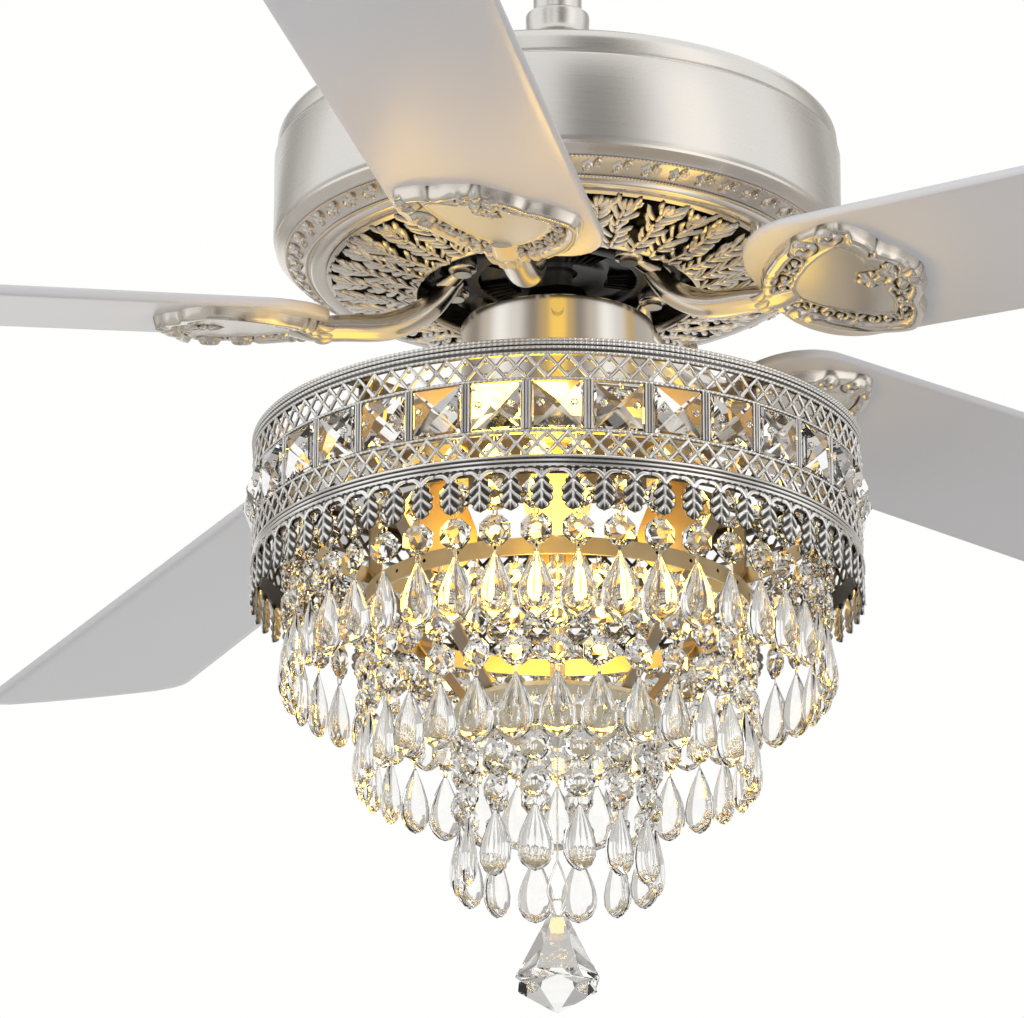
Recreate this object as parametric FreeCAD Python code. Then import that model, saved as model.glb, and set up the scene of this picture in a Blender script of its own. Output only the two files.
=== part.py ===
"""Chandelier ceiling fan: a five-blade fan on a downrod with a three-tier crystal light kit.

Millimetres. The origin is the centre of the hanger bracket's top face, on the ceiling plane,
with +Z up. Azimuth 0 is +X and azimuths grow towards +Y.
"""
import FreeCAD, Part

import math
import os

# Ceiling mount
bracket_length = 126.0
bracket_bar_width = 18.0
bracket_width = 56.0
bracket_centre_length = 60.0
bracket_thickness = 2.5
bracket_leg_width = 24.0
bracket_ear_height = 15.0
mount_slot_spacing = 88.9
mount_slot_length = 12.0
mount_slot_radius = 2.75
socket_outer_radius = 27.0
socket_height = 12.0
socket_drop = 16.0
canopy_radius = 67.0
canopy_height = 62.0
canopy_wall = 1.4
canopy_ceiling_gap = 0.5
canopy_skirt_height = 24.0
canopy_neck_radius = 31.0
canopy_screw_radius = 2.0
canopy_screw_head_radius = 4.0
canopy_screw_head_height = 2.2

# Hanger ball and downrod
ball_radius = 24.0
ball_drop = 38.0
ball_half_height = 15.0
ball_clearance = 0.3
ball_pin_radius = 3.0
ball_pin_length = 38.0
ball_pin_lift = 4.0
rod_radius = 12.3
rod_wall = 2.2
rod_length = 152.0
rod_above_ball = 14.0

# Coupling between downrod and motor
yoke_radius = 18.0
yoke_flange_radius = 40.0
yoke_flange_thickness = 6.0
yoke_insertion = 32.0
rod_end_gap = 8.0
yoke_bolt_radius = 3.0
yoke_bolt_length = 44.0
yoke_bolt_head_radius = 5.0
yoke_bolt_head_height = 3.5
yoke_bolt_lift = 14.0
yoke_screw_count = 4
yoke_screw_circle = 29.0
yoke_screw_radius = 2.4
yoke_screw_head_radius = 4.5
yoke_screw_head_height = 3.0
cover_height = 66.0
cover_base_radius = 54.0
cover_neck_radius = 16.2
cover_neck_height = 12.0
cover_wall = 1.4

# Motor housing
housing_radius = 142.0
housing_height = 60.0
housing_wall = 2.0
housing_wall_height = 46.0
housing_rim_inset = 1.5
housing_rim_rounding = 6.5
housing_groove_depth = 1.2
housing_groove_height = 1.5
housing_foot_chamfer = 1.0
housing_foot_height = 3.0

# Trim ring and grille under the housing
trim_drop = 15.0
trim_thickness = 1.6
trim_lip_thickness = 1.5
trim_upstand = 8.0
trim_border_inset = 5.4
trim_border_drop = 4.5
trim_inner_border_inset = 18.0
trim_inner_border_drop = 12.5
trim_ledge_inset = 19.5
trim_opening_inset = 26.5
grille_throat = 8.6
grille_drop = 25.5
grille_thickness = 1.6
grille_rim_width = 3.2
grille_motif_count = 20
grille_rows = 3
grille_opening_width = 5.6
grille_margin = 4.6
thumb_screw_count = 4
thumb_screw_azimuth = -35.0
thumb_screw_radius = 1.6
thumb_screw_head_radius = 3.4
thumb_screw_head_height = 7.0
thumb_screw_tail = 3.2
thumb_screw_nut_radius = 2.7
thumb_screw_nut_height = 2.4
thumb_screw_sides = 12

# Motor
shaft_radius = 7.5
shaft_bore_radius = 4.5
shaft_flange_radius = 36.0
shaft_flange_thickness = 3.5
bearing_outer_radius = 17.5
bearing_width = 11.0
bearing_fit = 0.05
rotor_radius = 84.0
rotor_wall = 4.0
rotor_skin = 3.0
cage_height = 28.0
cage_drop = 30.0
stator_radius = 60.5
stator_height = 24.0
stator_slot_count = 12
stator_slot_width = 6.0
stator_slot_depth = 26.0
air_gap = 1.0
winding_height = 6.5
winding_inner_radius = 33.0
winding_outer_radius = 58.0
upper_bearing_drop = 9.0
hub_drop = 18.0
hub_pad_outer_radius = 61.0
hub_pad_inner_radius = 39.0
hub_recess = 4.0
hub_boss_radius = 22.0
hub_boss_lip = 3.0
fin_count = 30
fin_thickness = 2.2
fin_inner_radius = 24.0
shaft_clearance = 2.5

# Blade irons
blade_count = 5
first_blade_azimuth = 43.02
iron_foot_radius = 49.5
iron_foot_spread = 34.0
iron_foot_thickness = 3.0
iron_eye_radius = 7.2
iron_arm_drop = 28.5
iron_arm_half_width = 8.0
iron_arm_half_height = 6.0
medallion_start = 120.0
medallion_length = 89.0
medallion_half_width = 47.0
medallion_plate_thickness = 3.2
medallion_rim_height = 3.6
iron_screw_radius = 2.2
iron_screw_head_radius = 4.6
iron_screw_head_height = 2.8
iron_screw_depth = 4.5

# Blades
blade_tip_radius = 660.0
blade_root_radius = 115.0
blade_root_width = 102.2
blade_tip_width = 126.6
blade_thickness = 5.2
blade_root_rounding = 38.0
blade_tip_rounding = 13.0
blade_tip_crown = 4.0
blade_pitch = 12.83
blade_drop = 46.7
blade_screw_radius = 2.0
blade_screw_head_radius = 4.8
blade_screw_head_height = 2.2
blade_screw_spread = 40.0
blade_screw_near = 26.0
blade_screw_far = 62.0

# Switch cup
cup_radius = 48.0
cup_wall = 1.3
cup_drop = 43.0
cup_height = 62.0
mount_plate_thickness = 2.5
mount_hub_radius = 15.0
mount_hub_height = 18.0
mount_ear_height = 12.0
mount_ear_width = 14.0
cup_screw_count = 3
cup_screw_azimuth = 30.0
cup_screw_radius = 1.8
cup_screw_head_radius = 3.2
cup_screw_head_height = 1.8
lock_nut_radius = 12.5
lock_nut_height = 7.0
capacitor_length = 40.0
capacitor_width = 24.0
capacitor_height = 20.0
capacitor_offset = 12.0
capacitor_rounding = 4.0

# Light-kit spider and band
spider_thickness = 3.0
spider_spoke_width = 10.0
spider_ring_width = 6.6
spider_ring_inset = 0.7
spoke_count = 4
spoke_azimuth = 45.0
band_radius = 150.3
band_wall = 2.8
top_rim_height = 5.4
lattice_height = 11.2
rail_height = 1.6
jewel_row_height = 24.2
bottom_rim_height = 9.4
bottom_rim_bulge = 1.2
jewel_count = 32
jewel_divider_width = 4.6
jewel_clearance = 0.25
jewel_front_depth = 7.0
jewel_back_depth = 4.0
jewel_girdle = 2.0
lattice_thickness = 1.0
lattice_cells_per_panel = 3
lattice_bar = 1.5
panel_gap = 0.1
leaf_count = 64
leaf_height = 18.9
leaf_thickness = 0.9

# Crystal tiers
strand_pitches = (19.75, 19.9, 21.3)
tier_drops = (146.5, 194.2, 245.0)
tier_start_shares = (0.5, 0.0, 0.5)
front_azimuth = -90.0
tier_strip_height = 8.5
tier_strip_thickness = 1.2
tier_plate_overhang = 3.0
tier_plate_thickness = 2.0
strap_width = 8.0
strap_thickness = 1.5
strap_seat = 2.5
octagon_size = 15.3
octagon_thickness = 8.6
octagon_sides = 8
octagons_per_strand = 3
hook_length = 4.0
link_length = 2.7
link_size = 1.3
drop_length = 34.0
drop_width = 18.0
drop_thickness = 9.4
drop_sides = 6

# Lamps and centre rod
lamp_count = 4
lamp_azimuth = 90.0
socket_radius = 12.0
socket_length = 18.0
socket_bore_depth = 10.0
socket_bore_radius = 7.0
bulb_radius = 16.5
bulb_length = 44.0
bulb_neck_radius = 8.0
centre_rod_radius = 4.0
centre_rod_clearance = 0.15
rod_nut_radius = 7.5
rod_nut_height = 5.0
end_nut_radius = 4.5
end_nut_drop = 261.0

# Pendant
pendant_clearance = 0.3
pendant_link_drop = 347.0
pendant_link_radius = 0.9
pendant_eye_radius = 3.0
pendant_top_radius = 5.0
pendant_girdle_radius = 21.5
pendant_girdle_drop = 381.0
pendant_tip_drop = 395.0
pendant_sides = 6

# Fits
clearance = 0.2
overrun = 5.0

# Outline shares, chosen by hand
canopy_curve_share = 0.42
grille_opening_share = 0.9
spider_hub_share = 0.532
lamp_circle_share = 0.372
tier_radius_shares = (0.8782, 0.6321, 0.316)
leaf_width_share = 0.908
cover_bell_height_share = 0.62
cover_bell_radius_shares = (0.30, 0.74)
iron_path_shares = ((0.02, 0.0), (0.2, 0.6), (0.42, 0.93), (0.7, 1.0), (1.0, 1.06))
iron_section_shares = ((0.78, 0.85), (0.85, 0.92), (1.0, 1.0), (1.05, 0.95), (0.95, 0.62))
medallion_shares = (
    (0.0, 0.12), (0.07, 0.36), (0.2, 0.62), (0.4, 0.86), (0.6, 0.98), (0.74, 0.99),
    (0.83, 0.78), (0.88, 0.52), (0.95, 0.33), (1.0, 0.12),
)
medallion_panel_share = 0.72
medallion_panel_shift_share = 0.03
leaf_shares = ((0.22, 0.0), (0.22, 0.2), (0.5, 0.5), (0.36, 0.78), (0.0, 1.0))
drop_shares = ((0.0, 0.16), (0.3, 0.62), (0.66, 1.0), (1.0, 0.34))

Z_AXIS = FreeCAD.Vector(0, 0, 1)
ORIGIN = FreeCAD.Vector(0, 0, 0)

# Radii and counts that follow from the sizes above
housing_rim_radius = housing_radius - housing_rim_inset
trim_border_radius = housing_radius - trim_border_inset
trim_inner_border_radius = housing_radius - trim_inner_border_inset
trim_ledge_radius = housing_radius - trim_ledge_inset
trim_opening_radius = housing_radius - trim_opening_inset
grille_hole_radius = hub_pad_outer_radius + grille_throat
spider_hub_radius = band_radius * spider_hub_share
spider_ring_outer_radius = band_radius - spider_ring_inset
spider_ring_inner_radius = spider_ring_outer_radius - spider_ring_width
leaf_width = 2 * math.pi * band_radius / leaf_count * leaf_width_share
tier_radii = [band_radius * share for share in tier_radius_shares]
tier_counts = [round(2 * math.pi * r / pitch) for r, pitch in zip(tier_radii, strand_pitches)]
lamp_circle = band_radius * lamp_circle_share

# Levels that follow from the sizes above
ball_z = -ball_drop
rod_top_z = ball_z + rod_above_ball
rod_bottom_z = rod_top_z - rod_length
housing_top_z = rod_bottom_z - rod_end_gap - yoke_flange_thickness
base_z = housing_top_z - housing_height
housing_roof_z = housing_top_z - housing_wall
hub_z = base_z - hub_drop
blade_z = base_z - blade_drop
cup_top_z = base_z - cup_drop
cup_bottom_z = cup_top_z - cup_height
spider_bottom_z = cup_bottom_z - spider_thickness
upper_lattice_z = spider_bottom_z - top_rim_height
upper_rail_z = upper_lattice_z - lattice_height
jewel_top_z = upper_rail_z - rail_height
jewel_bottom_z = jewel_top_z - jewel_row_height
lower_lattice_z = jewel_bottom_z - rail_height
bottom_rim_z = lower_lattice_z - lattice_height
leaf_top_z = bottom_rim_z - bottom_rim_height
plate_z = base_z - tier_drops[-1]
rod_end_z = base_z - end_nut_drop


def vector(x, y, z):
    return FreeCAD.Vector(x, y, z)


def line(start, end):
    return Part.LineSegment(start, end).toShape()


def arc(start, middle, end):
    return Part.Arc(start, middle, end).toShape()


def turned(points):
    """Solid of revolution about Z of a closed (radius, height) polygon."""
    corners = [vector(r, 0, z) for r, z in points]
    face = Part.Face(Part.makePolygon(corners + corners[:1]))
    return face.revolve(ORIGIN, Z_AXIS, 360)


def turned_edges(edges):
    """Solid of revolution about Z of closed edges in the XZ plane."""
    face = Part.Face(Part.Wire(Part.__sortEdges__(edges)))
    return face.revolve(ORIGIN, Z_AXIS, 360)


def ring(inner, outer, low, high):
    return turned([(inner, low), (outer, low), (outer, high), (inner, high)])


def rod(radius, low, high, x=0.0, y=0.0):
    return Part.makeCylinder(radius, high - low, vector(x, y, low))


def cross_pin(radius, length, z, axis):
    """Round pin centred on the main axis, lying along a level axis."""
    return Part.makeCylinder(radius, length, vector(0, 0, z) - axis * (length / 2), axis)


def block(length, width, low, high, x=0.0, y=0.0):
    """Upright box centred on (x, y)."""
    return Part.makeBox(length, width, high - low, vector(x - length / 2, y - width / 2, low))


def prism(points, low, high):
    """Upright prism on a closed (x, y) polygon."""
    corners = [vector(x, y, low) for x, y in points]
    return Part.Face(Part.makePolygon(corners + corners[:1])).extrude(vector(0, 0, high - low))


def polygon(radius, sides, start=0.0):
    angles = [math.radians(start + 360 * k / sides) for k in range(sides)]
    return [(radius * math.cos(a), radius * math.sin(a)) for a in angles]


def around(shape, count, start=0.0):
    """Copies of a shape turned evenly about Z."""
    return [shape.rotated(ORIGIN, Z_AXIS, start + 360 * k / count) for k in range(count)]


def fused(first, others):
    return first.multiFuse(others).removeSplitter()


def drilled(shape, tools):
    return shape.cut(Part.makeCompound(tools))


def upright_edges(shape, height):
    """Edges that run up a shape of the given height."""
    return [e for e in shape.Edges if abs(e.Vertexes[0].Z - e.Vertexes[-1].Z) > height / 2]


def polyhedron(faces):
    """Closed solid from planar faces given as lists of corners."""
    sides = [Part.Face(Part.makePolygon(corners + corners[:1])) for corners in faces]
    return Part.Solid(Part.Shell(sides))


def stacked(rings):
    """Faceted solid through rings of corners, one ring above the other."""
    count = len(rings[0])
    faces = [rings[0][::-1], rings[-1]]
    for lower, upper in zip(rings, rings[1:]):
        for k in range(count):
            n = (k + 1) % count
            faces.append([lower[k], lower[n], upper[n], upper[k]])
    return polyhedron(faces)


def make_hanger_bracket():
    """Steel plate with two ceiling slots, two legs and an open ball socket."""
    plate = block(bracket_centre_length, bracket_width, -bracket_thickness, 0)
    bar = block(bracket_length, bracket_bar_width, -bracket_thickness, 0)
    leg_y = (bracket_width - bracket_thickness) / 2
    socket_low = ball_z - socket_drop
    legs = [
        block(bracket_leg_width, bracket_thickness, socket_low, -bracket_thickness, 0, side * leg_y)
        for side in (-1, 1)
    ]
    ear_x = (bracket_length - bracket_thickness) / 2
    ears = [
        block(bracket_thickness, bracket_bar_width, -bracket_ear_height, -bracket_thickness, side * ear_x)
        for side in (-1, 1)
    ]
    socket = rod(socket_outer_radius, socket_low, socket_low + socket_height)
    body = fused(plate, [bar, socket] + legs + ears)
    seat = Part.makeSphere(ball_radius + ball_clearance, vector(0, 0, ball_z))
    mouth_width = 2 * (rod_radius + clearance + ball_clearance)
    mouth = Part.makeBox(
        socket_outer_radius + overrun, mouth_width, socket_height + 2 * overrun,
        vector(0, -mouth_width / 2, socket_low - overrun),
    )
    slot_half = mount_slot_length / 2 - mount_slot_radius
    slot_low = -bracket_thickness - overrun
    slots = []
    for side in (-1, 1):
        slot_x = side * mount_slot_spacing / 2
        ends = [rod(mount_slot_radius, slot_low, overrun, slot_x + end * slot_half) for end in (-1, 1)]
        slots.append(fused(block(2 * slot_half, 2 * mount_slot_radius, slot_low, overrun, slot_x), ends))
    screw_hole = cross_pin(
        canopy_screw_radius + clearance, bracket_length + overrun, canopy_screw_z(), vector(1, 0, 0)
    )
    for tool in [seat, mouth, screw_hole] + slots:
        body = body.cut(tool)
    return body


def canopy_screw_z():
    return -(bracket_thickness + bracket_ear_height) / 2


def make_canopy():
    """Bell-shaped ceiling cover, open at the ceiling and round the rod."""
    top = -canopy_ceiling_gap
    knee = top - canopy_skirt_height
    bottom = top - canopy_height
    mid_r = canopy_neck_radius + (canopy_radius - canopy_neck_radius) * (1 - canopy_curve_share / 2)
    mid_z = bottom + (knee - bottom) * canopy_curve_share
    outer = [
        vector(canopy_radius, 0, top), vector(canopy_radius, 0, knee), vector(mid_r, 0, mid_z),
        vector(canopy_neck_radius, 0, bottom),
    ]
    inner = [vector(p.x - canopy_wall, 0, p.z + canopy_wall) for p in outer]
    inner[0].z = top
    inner[3].x = canopy_neck_radius
    edges = [
        line(outer[0], outer[1]), arc(*outer[1:]), line(outer[3], inner[3]),
        arc(*inner[:0:-1]), line(inner[1], inner[0]), line(inner[0], outer[0]),
    ]
    hole = cross_pin(
        canopy_screw_radius + clearance, 2 * (canopy_radius + overrun), canopy_screw_z(), vector(1, 0, 0)
    )
    return turned_edges(edges).cut(hole)


def make_canopy_screws():
    """Two side screws through the canopy skirt into the bracket's ears."""
    inner_x = bracket_length / 2 - bracket_thickness
    head_base = math.sqrt(canopy_radius ** 2 - canopy_screw_head_radius ** 2)
    start = vector(inner_x, 0, canopy_screw_z())
    shank = Part.makeCylinder(canopy_screw_radius, canopy_radius - inner_x, start, vector(1, 0, 0))
    head = Part.makeCylinder(
        canopy_screw_head_radius, canopy_radius - head_base + canopy_screw_head_height,
        vector(head_base, 0, canopy_screw_z()), vector(1, 0, 0),
    ).cut(rod(canopy_radius, -canopy_height, 0))
    return Part.makeCompound(around(fused(shank, [head]), 2))


def make_hanger_ball():
    ball = Part.makeSphere(ball_radius, vector(0, 0, ball_z))
    slab = block(3 * ball_radius, 3 * ball_radius, ball_z - ball_half_height, ball_z + ball_half_height)
    bore = rod(rod_radius + clearance, ball_z - ball_radius, ball_z + ball_radius)
    pin_z = ball_z + ball_pin_lift
    pin_hole = cross_pin(ball_pin_radius + clearance, 3 * ball_radius, pin_z, vector(1, 0, 0))
    return ball.common(slab).cut(bore).cut(pin_hole)


def make_ball_pin():
    return cross_pin(ball_pin_radius, ball_pin_length, ball_z + ball_pin_lift, vector(1, 0, 0))


def make_downrod():
    """Plain tube with a cross hole for the ball's pin and one for the yoke's bolt."""
    tube = ring(rod_radius - rod_wall, rod_radius, rod_bottom_z, rod_top_z)
    bolt_z = rod_bottom_z + yoke_bolt_lift
    holes = [
        cross_pin(ball_pin_radius + clearance, 3 * rod_radius, ball_z + ball_pin_lift, vector(1, 0, 0)),
        cross_pin(yoke_bolt_radius + clearance, 3 * rod_radius, bolt_z, vector(0, 1, 0)),
    ]
    return drilled(tube, holes)


def yoke_screw_holes():
    hole = rod(yoke_screw_radius + clearance, base_z, rod_bottom_z, yoke_screw_circle)
    return around(hole, yoke_screw_count, spoke_azimuth)


def make_yoke():
    """Flanged tube that takes the rod's lower end."""
    bore = rod_radius + clearance
    flange_top = housing_top_z + yoke_flange_thickness
    top = rod_bottom_z + yoke_insertion
    body = turned([
        (shaft_radius + clearance, housing_top_z), (yoke_flange_radius, housing_top_z),
        (yoke_flange_radius, flange_top), (yoke_radius, flange_top), (yoke_radius, top), (bore, top),
        (bore, flange_top), (shaft_radius + clearance, flange_top),
    ])
    bolt_z = rod_bottom_z + yoke_bolt_lift
    bolt_hole = cross_pin(yoke_bolt_radius + clearance, 4 * yoke_radius, bolt_z, vector(0, 1, 0))
    return drilled(body, yoke_screw_holes() + [bolt_hole])


def make_yoke_bolt():
    z = rod_bottom_z + yoke_bolt_lift
    shank = cross_pin(yoke_bolt_radius, yoke_bolt_length, z, vector(0, 1, 0))
    head_start = vector(0, -yoke_radius - yoke_bolt_head_height, z)
    head = Part.makeCylinder(yoke_bolt_head_radius, yoke_bolt_head_height, head_start, vector(0, 1, 0))
    return fused(shank, [head])


def make_yoke_screws():
    head_low = housing_top_z + yoke_flange_thickness
    shank = rod(yoke_screw_radius, housing_roof_z - shaft_flange_thickness, head_low, yoke_screw_circle)
    head = rod(yoke_screw_head_radius, head_low, head_low + yoke_screw_head_height, yoke_screw_circle)
    return Part.makeCompound(around(fused(shank, [head]), yoke_screw_count, spoke_azimuth))


def make_coupling_cover():
    """Bell that hides the coupling, open at the rod and flared on to the housing."""
    top = housing_top_z + cover_height
    neck = top - cover_neck_height
    spread = cover_base_radius - cover_neck_radius
    shoulder_z = housing_top_z + (neck - housing_top_z) * cover_bell_height_share
    shoulder_r = cover_neck_radius + spread * cover_bell_radius_shares[1]
    turn_r = cover_neck_radius + spread * cover_bell_radius_shares[0]
    turn_z = neck - (neck - shoulder_z) * cover_bell_radius_shares[0]
    outer = [
        vector(cover_neck_radius, 0, top), vector(cover_neck_radius, 0, neck), vector(turn_r, 0, turn_z),
        vector(shoulder_r, 0, shoulder_z), vector(cover_base_radius, 0, housing_top_z),
    ]
    inner = [vector(p.x - cover_wall, 0, p.z) for p in outer]
    edges = [
        line(outer[0], outer[1]), arc(*outer[1:4]), line(outer[3], outer[4]), line(outer[4], inner[4]),
        line(inner[4], inner[3]), arc(*inner[3:0:-1]), line(inner[1], inner[0]), line(inner[0], outer[0]),
    ]
    return turned_edges(edges)


def make_motor_housing():
    """Spun bowl: grooved wall, rounded rim and a flat roof."""
    groove_r = housing_rim_radius - housing_groove_depth
    groove_top = base_z + housing_wall_height + housing_groove_height
    wall_top = base_z + housing_wall_height
    rim_inner = groove_r - housing_wall
    wall_inner = housing_radius - housing_wall
    round_z = housing_top_z - housing_rim_rounding
    roof_r = housing_rim_radius - housing_rim_rounding
    bend = housing_rim_rounding * (1 - math.sqrt(0.5))
    hole = shaft_radius + clearance
    foot_r = housing_radius - housing_foot_chamfer
    corner = vector(housing_rim_radius - bend, 0, housing_top_z - bend)
    path = [
        vector(hole, 0, housing_roof_z), vector(hole, 0, housing_top_z), vector(roof_r, 0, housing_top_z),
    ]
    wall = [
        vector(housing_rim_radius, 0, round_z), vector(housing_rim_radius, 0, groove_top),
        vector(groove_r, 0, groove_top), vector(groove_r, 0, wall_top), vector(housing_radius, 0, wall_top),
        vector(housing_radius, 0, base_z + housing_foot_height), vector(foot_r, 0, base_z),
        vector(wall_inner, 0, base_z), vector(wall_inner, 0, wall_top - housing_wall),
        vector(rim_inner, 0, wall_top - housing_wall / 2), vector(rim_inner, 0, round_z),
        vector(roof_r - housing_wall, 0, housing_roof_z), path[0],
    ]
    edges = [line(a, b) for a, b in zip(path, path[1:])] + [arc(path[-1], corner, wall[0])]
    edges += [line(a, b) for a, b in zip(wall, wall[1:])]
    return drilled(turned_edges(edges), yoke_screw_holes())


def thumb_screw_circle():
    return trim_opening_radius + thumb_screw_head_radius + 2 * clearance


def thumb_screw_holes():
    hole = rod(thumb_screw_radius + clearance, base_z - trim_drop - overrun, base_z, thumb_screw_circle())
    return around(hole, thumb_screw_count, thumb_screw_azimuth)


def make_trim_ring():
    """Dished cast ring that closes the housing's foot and carries the grille."""
    foot_r = housing_radius - housing_foot_chamfer
    upstand_r = housing_radius - housing_wall - clearance
    ledge_low = base_z - trim_drop
    ledge_high = ledge_low + trim_thickness
    body = turned([
        (foot_r, base_z), (foot_r, base_z - trim_lip_thickness),
        (trim_border_radius, base_z - trim_border_drop),
        (trim_inner_border_radius, base_z - trim_inner_border_drop),
        (trim_ledge_radius, ledge_low), (trim_opening_radius, ledge_low), (trim_opening_radius, ledge_high),
        (trim_ledge_radius, ledge_high),
        (trim_inner_border_radius, base_z - trim_inner_border_drop + trim_thickness),
        (trim_border_radius, base_z - trim_border_drop + trim_thickness),
        (upstand_r - housing_wall, base_z), (upstand_r - housing_wall, base_z + trim_upstand),
        (upstand_r, base_z + trim_upstand), (upstand_r, base_z),
    ])
    return drilled(body, thumb_screw_holes())


def leaf_tool(length, width, radius, low, high):
    """Pointed-oval cutter lying along a radius."""
    near = vector(radius - length / 2, 0, low)
    far = vector(radius + length / 2, 0, low)
    sides = [arc(near, vector(radius, side * width / 2, low), far) for side in (-1, 1)]
    return Part.Face(Part.Wire(sides)).extrude(vector(0, 0, high - low))


def make_grille():
    """Pierced cone with rows of pointed openings between a flange and an inner rim."""
    cone_r = trim_opening_radius - clearance
    seat = base_z - trim_drop + trim_thickness
    low = base_z - grille_drop
    flange_r = trim_ledge_radius - clearance
    cone_low = seat - trim_thickness
    body = turned([
        (flange_r, seat), (flange_r, seat + grille_thickness), (cone_r, seat + grille_thickness),
        (grille_hole_radius + grille_rim_width, low + 2 * grille_thickness),
        (grille_hole_radius, low + 2 * grille_thickness), (grille_hole_radius, low),
        (cone_r, cone_low), (cone_r, seat),
    ])
    cutters = []
    field_outer = cone_r - grille_margin
    row_pitch = (field_outer - grille_hole_radius - grille_rim_width) / grille_rows
    length = row_pitch * grille_opening_share
    for row in range(grille_rows):
        radius = field_outer - row_pitch * (row + 0.5)
        tool = leaf_tool(length, grille_opening_width, radius, low - overrun, seat + overrun)
        cutters += around(tool, grille_motif_count, 180 / grille_motif_count * row)
    return drilled(body, cutters + thumb_screw_holes())


def make_thumb_screws():
    ledge_low = base_z - trim_drop
    nut_low = ledge_low + trim_thickness + grille_thickness
    shank = rod(thumb_screw_radius, ledge_low, nut_low + thumb_screw_tail)
    head = prism(
        polygon(thumb_screw_head_radius, thumb_screw_sides), ledge_low - thumb_screw_head_height, ledge_low
    )
    nut = prism(polygon(thumb_screw_nut_radius, 6), nut_low, nut_low + thumb_screw_nut_height)
    screw = fused(shank, [head, nut]).translated(vector(thumb_screw_circle(), 0, 0))
    return Part.makeCompound(around(screw, thumb_screw_count, thumb_screw_azimuth))


def shaft_end_z():
    return cup_top_z - mount_plate_thickness - lock_nut_height


def make_motor_shaft():
    """Hollow fixed shaft with the flange that hangs from the housing roof."""
    flange_low = housing_roof_z - shaft_flange_thickness
    top = housing_top_z + yoke_flange_thickness
    body = turned([
        (shaft_bore_radius, shaft_end_z()), (shaft_radius, shaft_end_z()),
        (shaft_radius, flange_low), (shaft_flange_radius, flange_low),
        (shaft_flange_radius, housing_roof_z), (shaft_radius, housing_roof_z),
        (shaft_radius, top), (shaft_bore_radius, top),
    ])
    return drilled(body, yoke_screw_holes())


def cage_high_z():
    return housing_top_z - cage_drop


def cage_low_z():
    return cage_high_z() - cage_height


def stator_low_z():
    return (cage_low_z() + cage_high_z() - stator_height) / 2


def make_stator_core():
    low = stator_low_z()
    core = ring(shaft_radius + bearing_fit, stator_radius, low, low + stator_height)
    slot = Part.makeBox(
        stator_slot_depth + overrun, stator_slot_width, stator_height + 2 * overrun,
        vector(stator_radius - stator_slot_depth, -stator_slot_width / 2, low - overrun),
    )
    return drilled(core, around(slot, stator_slot_count))


def make_stator_windings():
    """End turns of the winding, above and below the core."""
    low = stator_low_z()
    high = low + stator_height
    return Part.makeCompound([
        ring(winding_inner_radius, winding_outer_radius, high, high + winding_height),
        ring(winding_inner_radius, winding_outer_radius, low - winding_height, low),
    ])


def upper_bearing_z():
    return housing_roof_z - shaft_flange_thickness - upper_bearing_drop


def lower_bearing_z():
    return hub_z + hub_recess + hub_boss_lip + bearing_width


def make_bearings():
    inner = shaft_radius + bearing_fit
    outer = bearing_outer_radius - bearing_fit
    return Part.makeCompound([
        ring(inner, outer, top - bearing_width, top) for top in (upper_bearing_z(), lower_bearing_z())
    ])


def make_rotor_top_cover():
    """Upper end bell with the upper bearing's seat."""
    low = cage_high_z()
    bearing_top = upper_bearing_z()
    bearing_low = bearing_top - bearing_width
    disc_high = bearing_top - bearing_width / 4
    disc_low = disc_high - rotor_skin
    lip_high = bearing_top + hub_boss_lip
    lip = shaft_radius + shaft_clearance
    wall_inner = rotor_radius - rotor_wall
    return turned([
        (rotor_radius, low), (rotor_radius, disc_low),
        (wall_inner, disc_high), (hub_boss_radius, disc_high),
        (hub_boss_radius, lip_high), (lip, lip_high),
        (lip, bearing_top), (bearing_outer_radius, bearing_top),
        (bearing_outer_radius, bearing_low), (hub_boss_radius, bearing_low),
        (hub_boss_radius, disc_low), (wall_inner - rotor_skin, disc_low), (wall_inner, low),
    ])


def make_rotor_cage():
    return ring(stator_radius + air_gap, rotor_radius, cage_low_z(), cage_high_z())


def make_rotor_bottom_cover():
    """Lower end bell: a ring of iron pads, radial fins and the lower bearing's boss."""
    high = cage_low_z()
    pad = hub_z
    recess = pad + hub_recess
    bearing_top = lower_bearing_z()
    bearing_low = bearing_top - bearing_width
    lip = shaft_radius + shaft_clearance
    wall_inner = rotor_radius - rotor_wall
    body = turned([
        (lip, recess), (hub_pad_inner_radius, recess),
        (hub_pad_inner_radius, pad), (hub_pad_outer_radius, pad),
        (rotor_radius, high - rotor_wall), (rotor_radius, high),
        (wall_inner, high), (wall_inner, high - rotor_wall / 2),
        (hub_pad_outer_radius - rotor_skin, recess + rotor_skin),
        (hub_boss_radius, recess + rotor_skin), (hub_boss_radius, bearing_top),
        (bearing_outer_radius, bearing_top), (bearing_outer_radius, bearing_low), (lip, bearing_low),
    ])
    fin = Part.makeBox(
        hub_pad_inner_radius - fin_inner_radius, fin_thickness, hub_recess,
        vector(fin_inner_radius, -fin_thickness / 2, pad),
    )
    body = fused(body, around(fin, fin_count))
    holes = [spot for azimuth in blade_azimuths() for spot in iron_screw_holes(azimuth)]
    return drilled(body, holes)


def blade_azimuths():
    return [first_blade_azimuth + 360 * k / blade_count for k in range(blade_count)]


def on_blade(shape, azimuth):
    """Carry a shape from the blade's own flat frame to its place: pitched, lowered and turned."""
    placed = shape.rotated(ORIGIN, vector(1, 0, 0), -blade_pitch).translated(vector(0, 0, blade_z))
    return placed.rotated(ORIGIN, Z_AXIS, azimuth)


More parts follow.
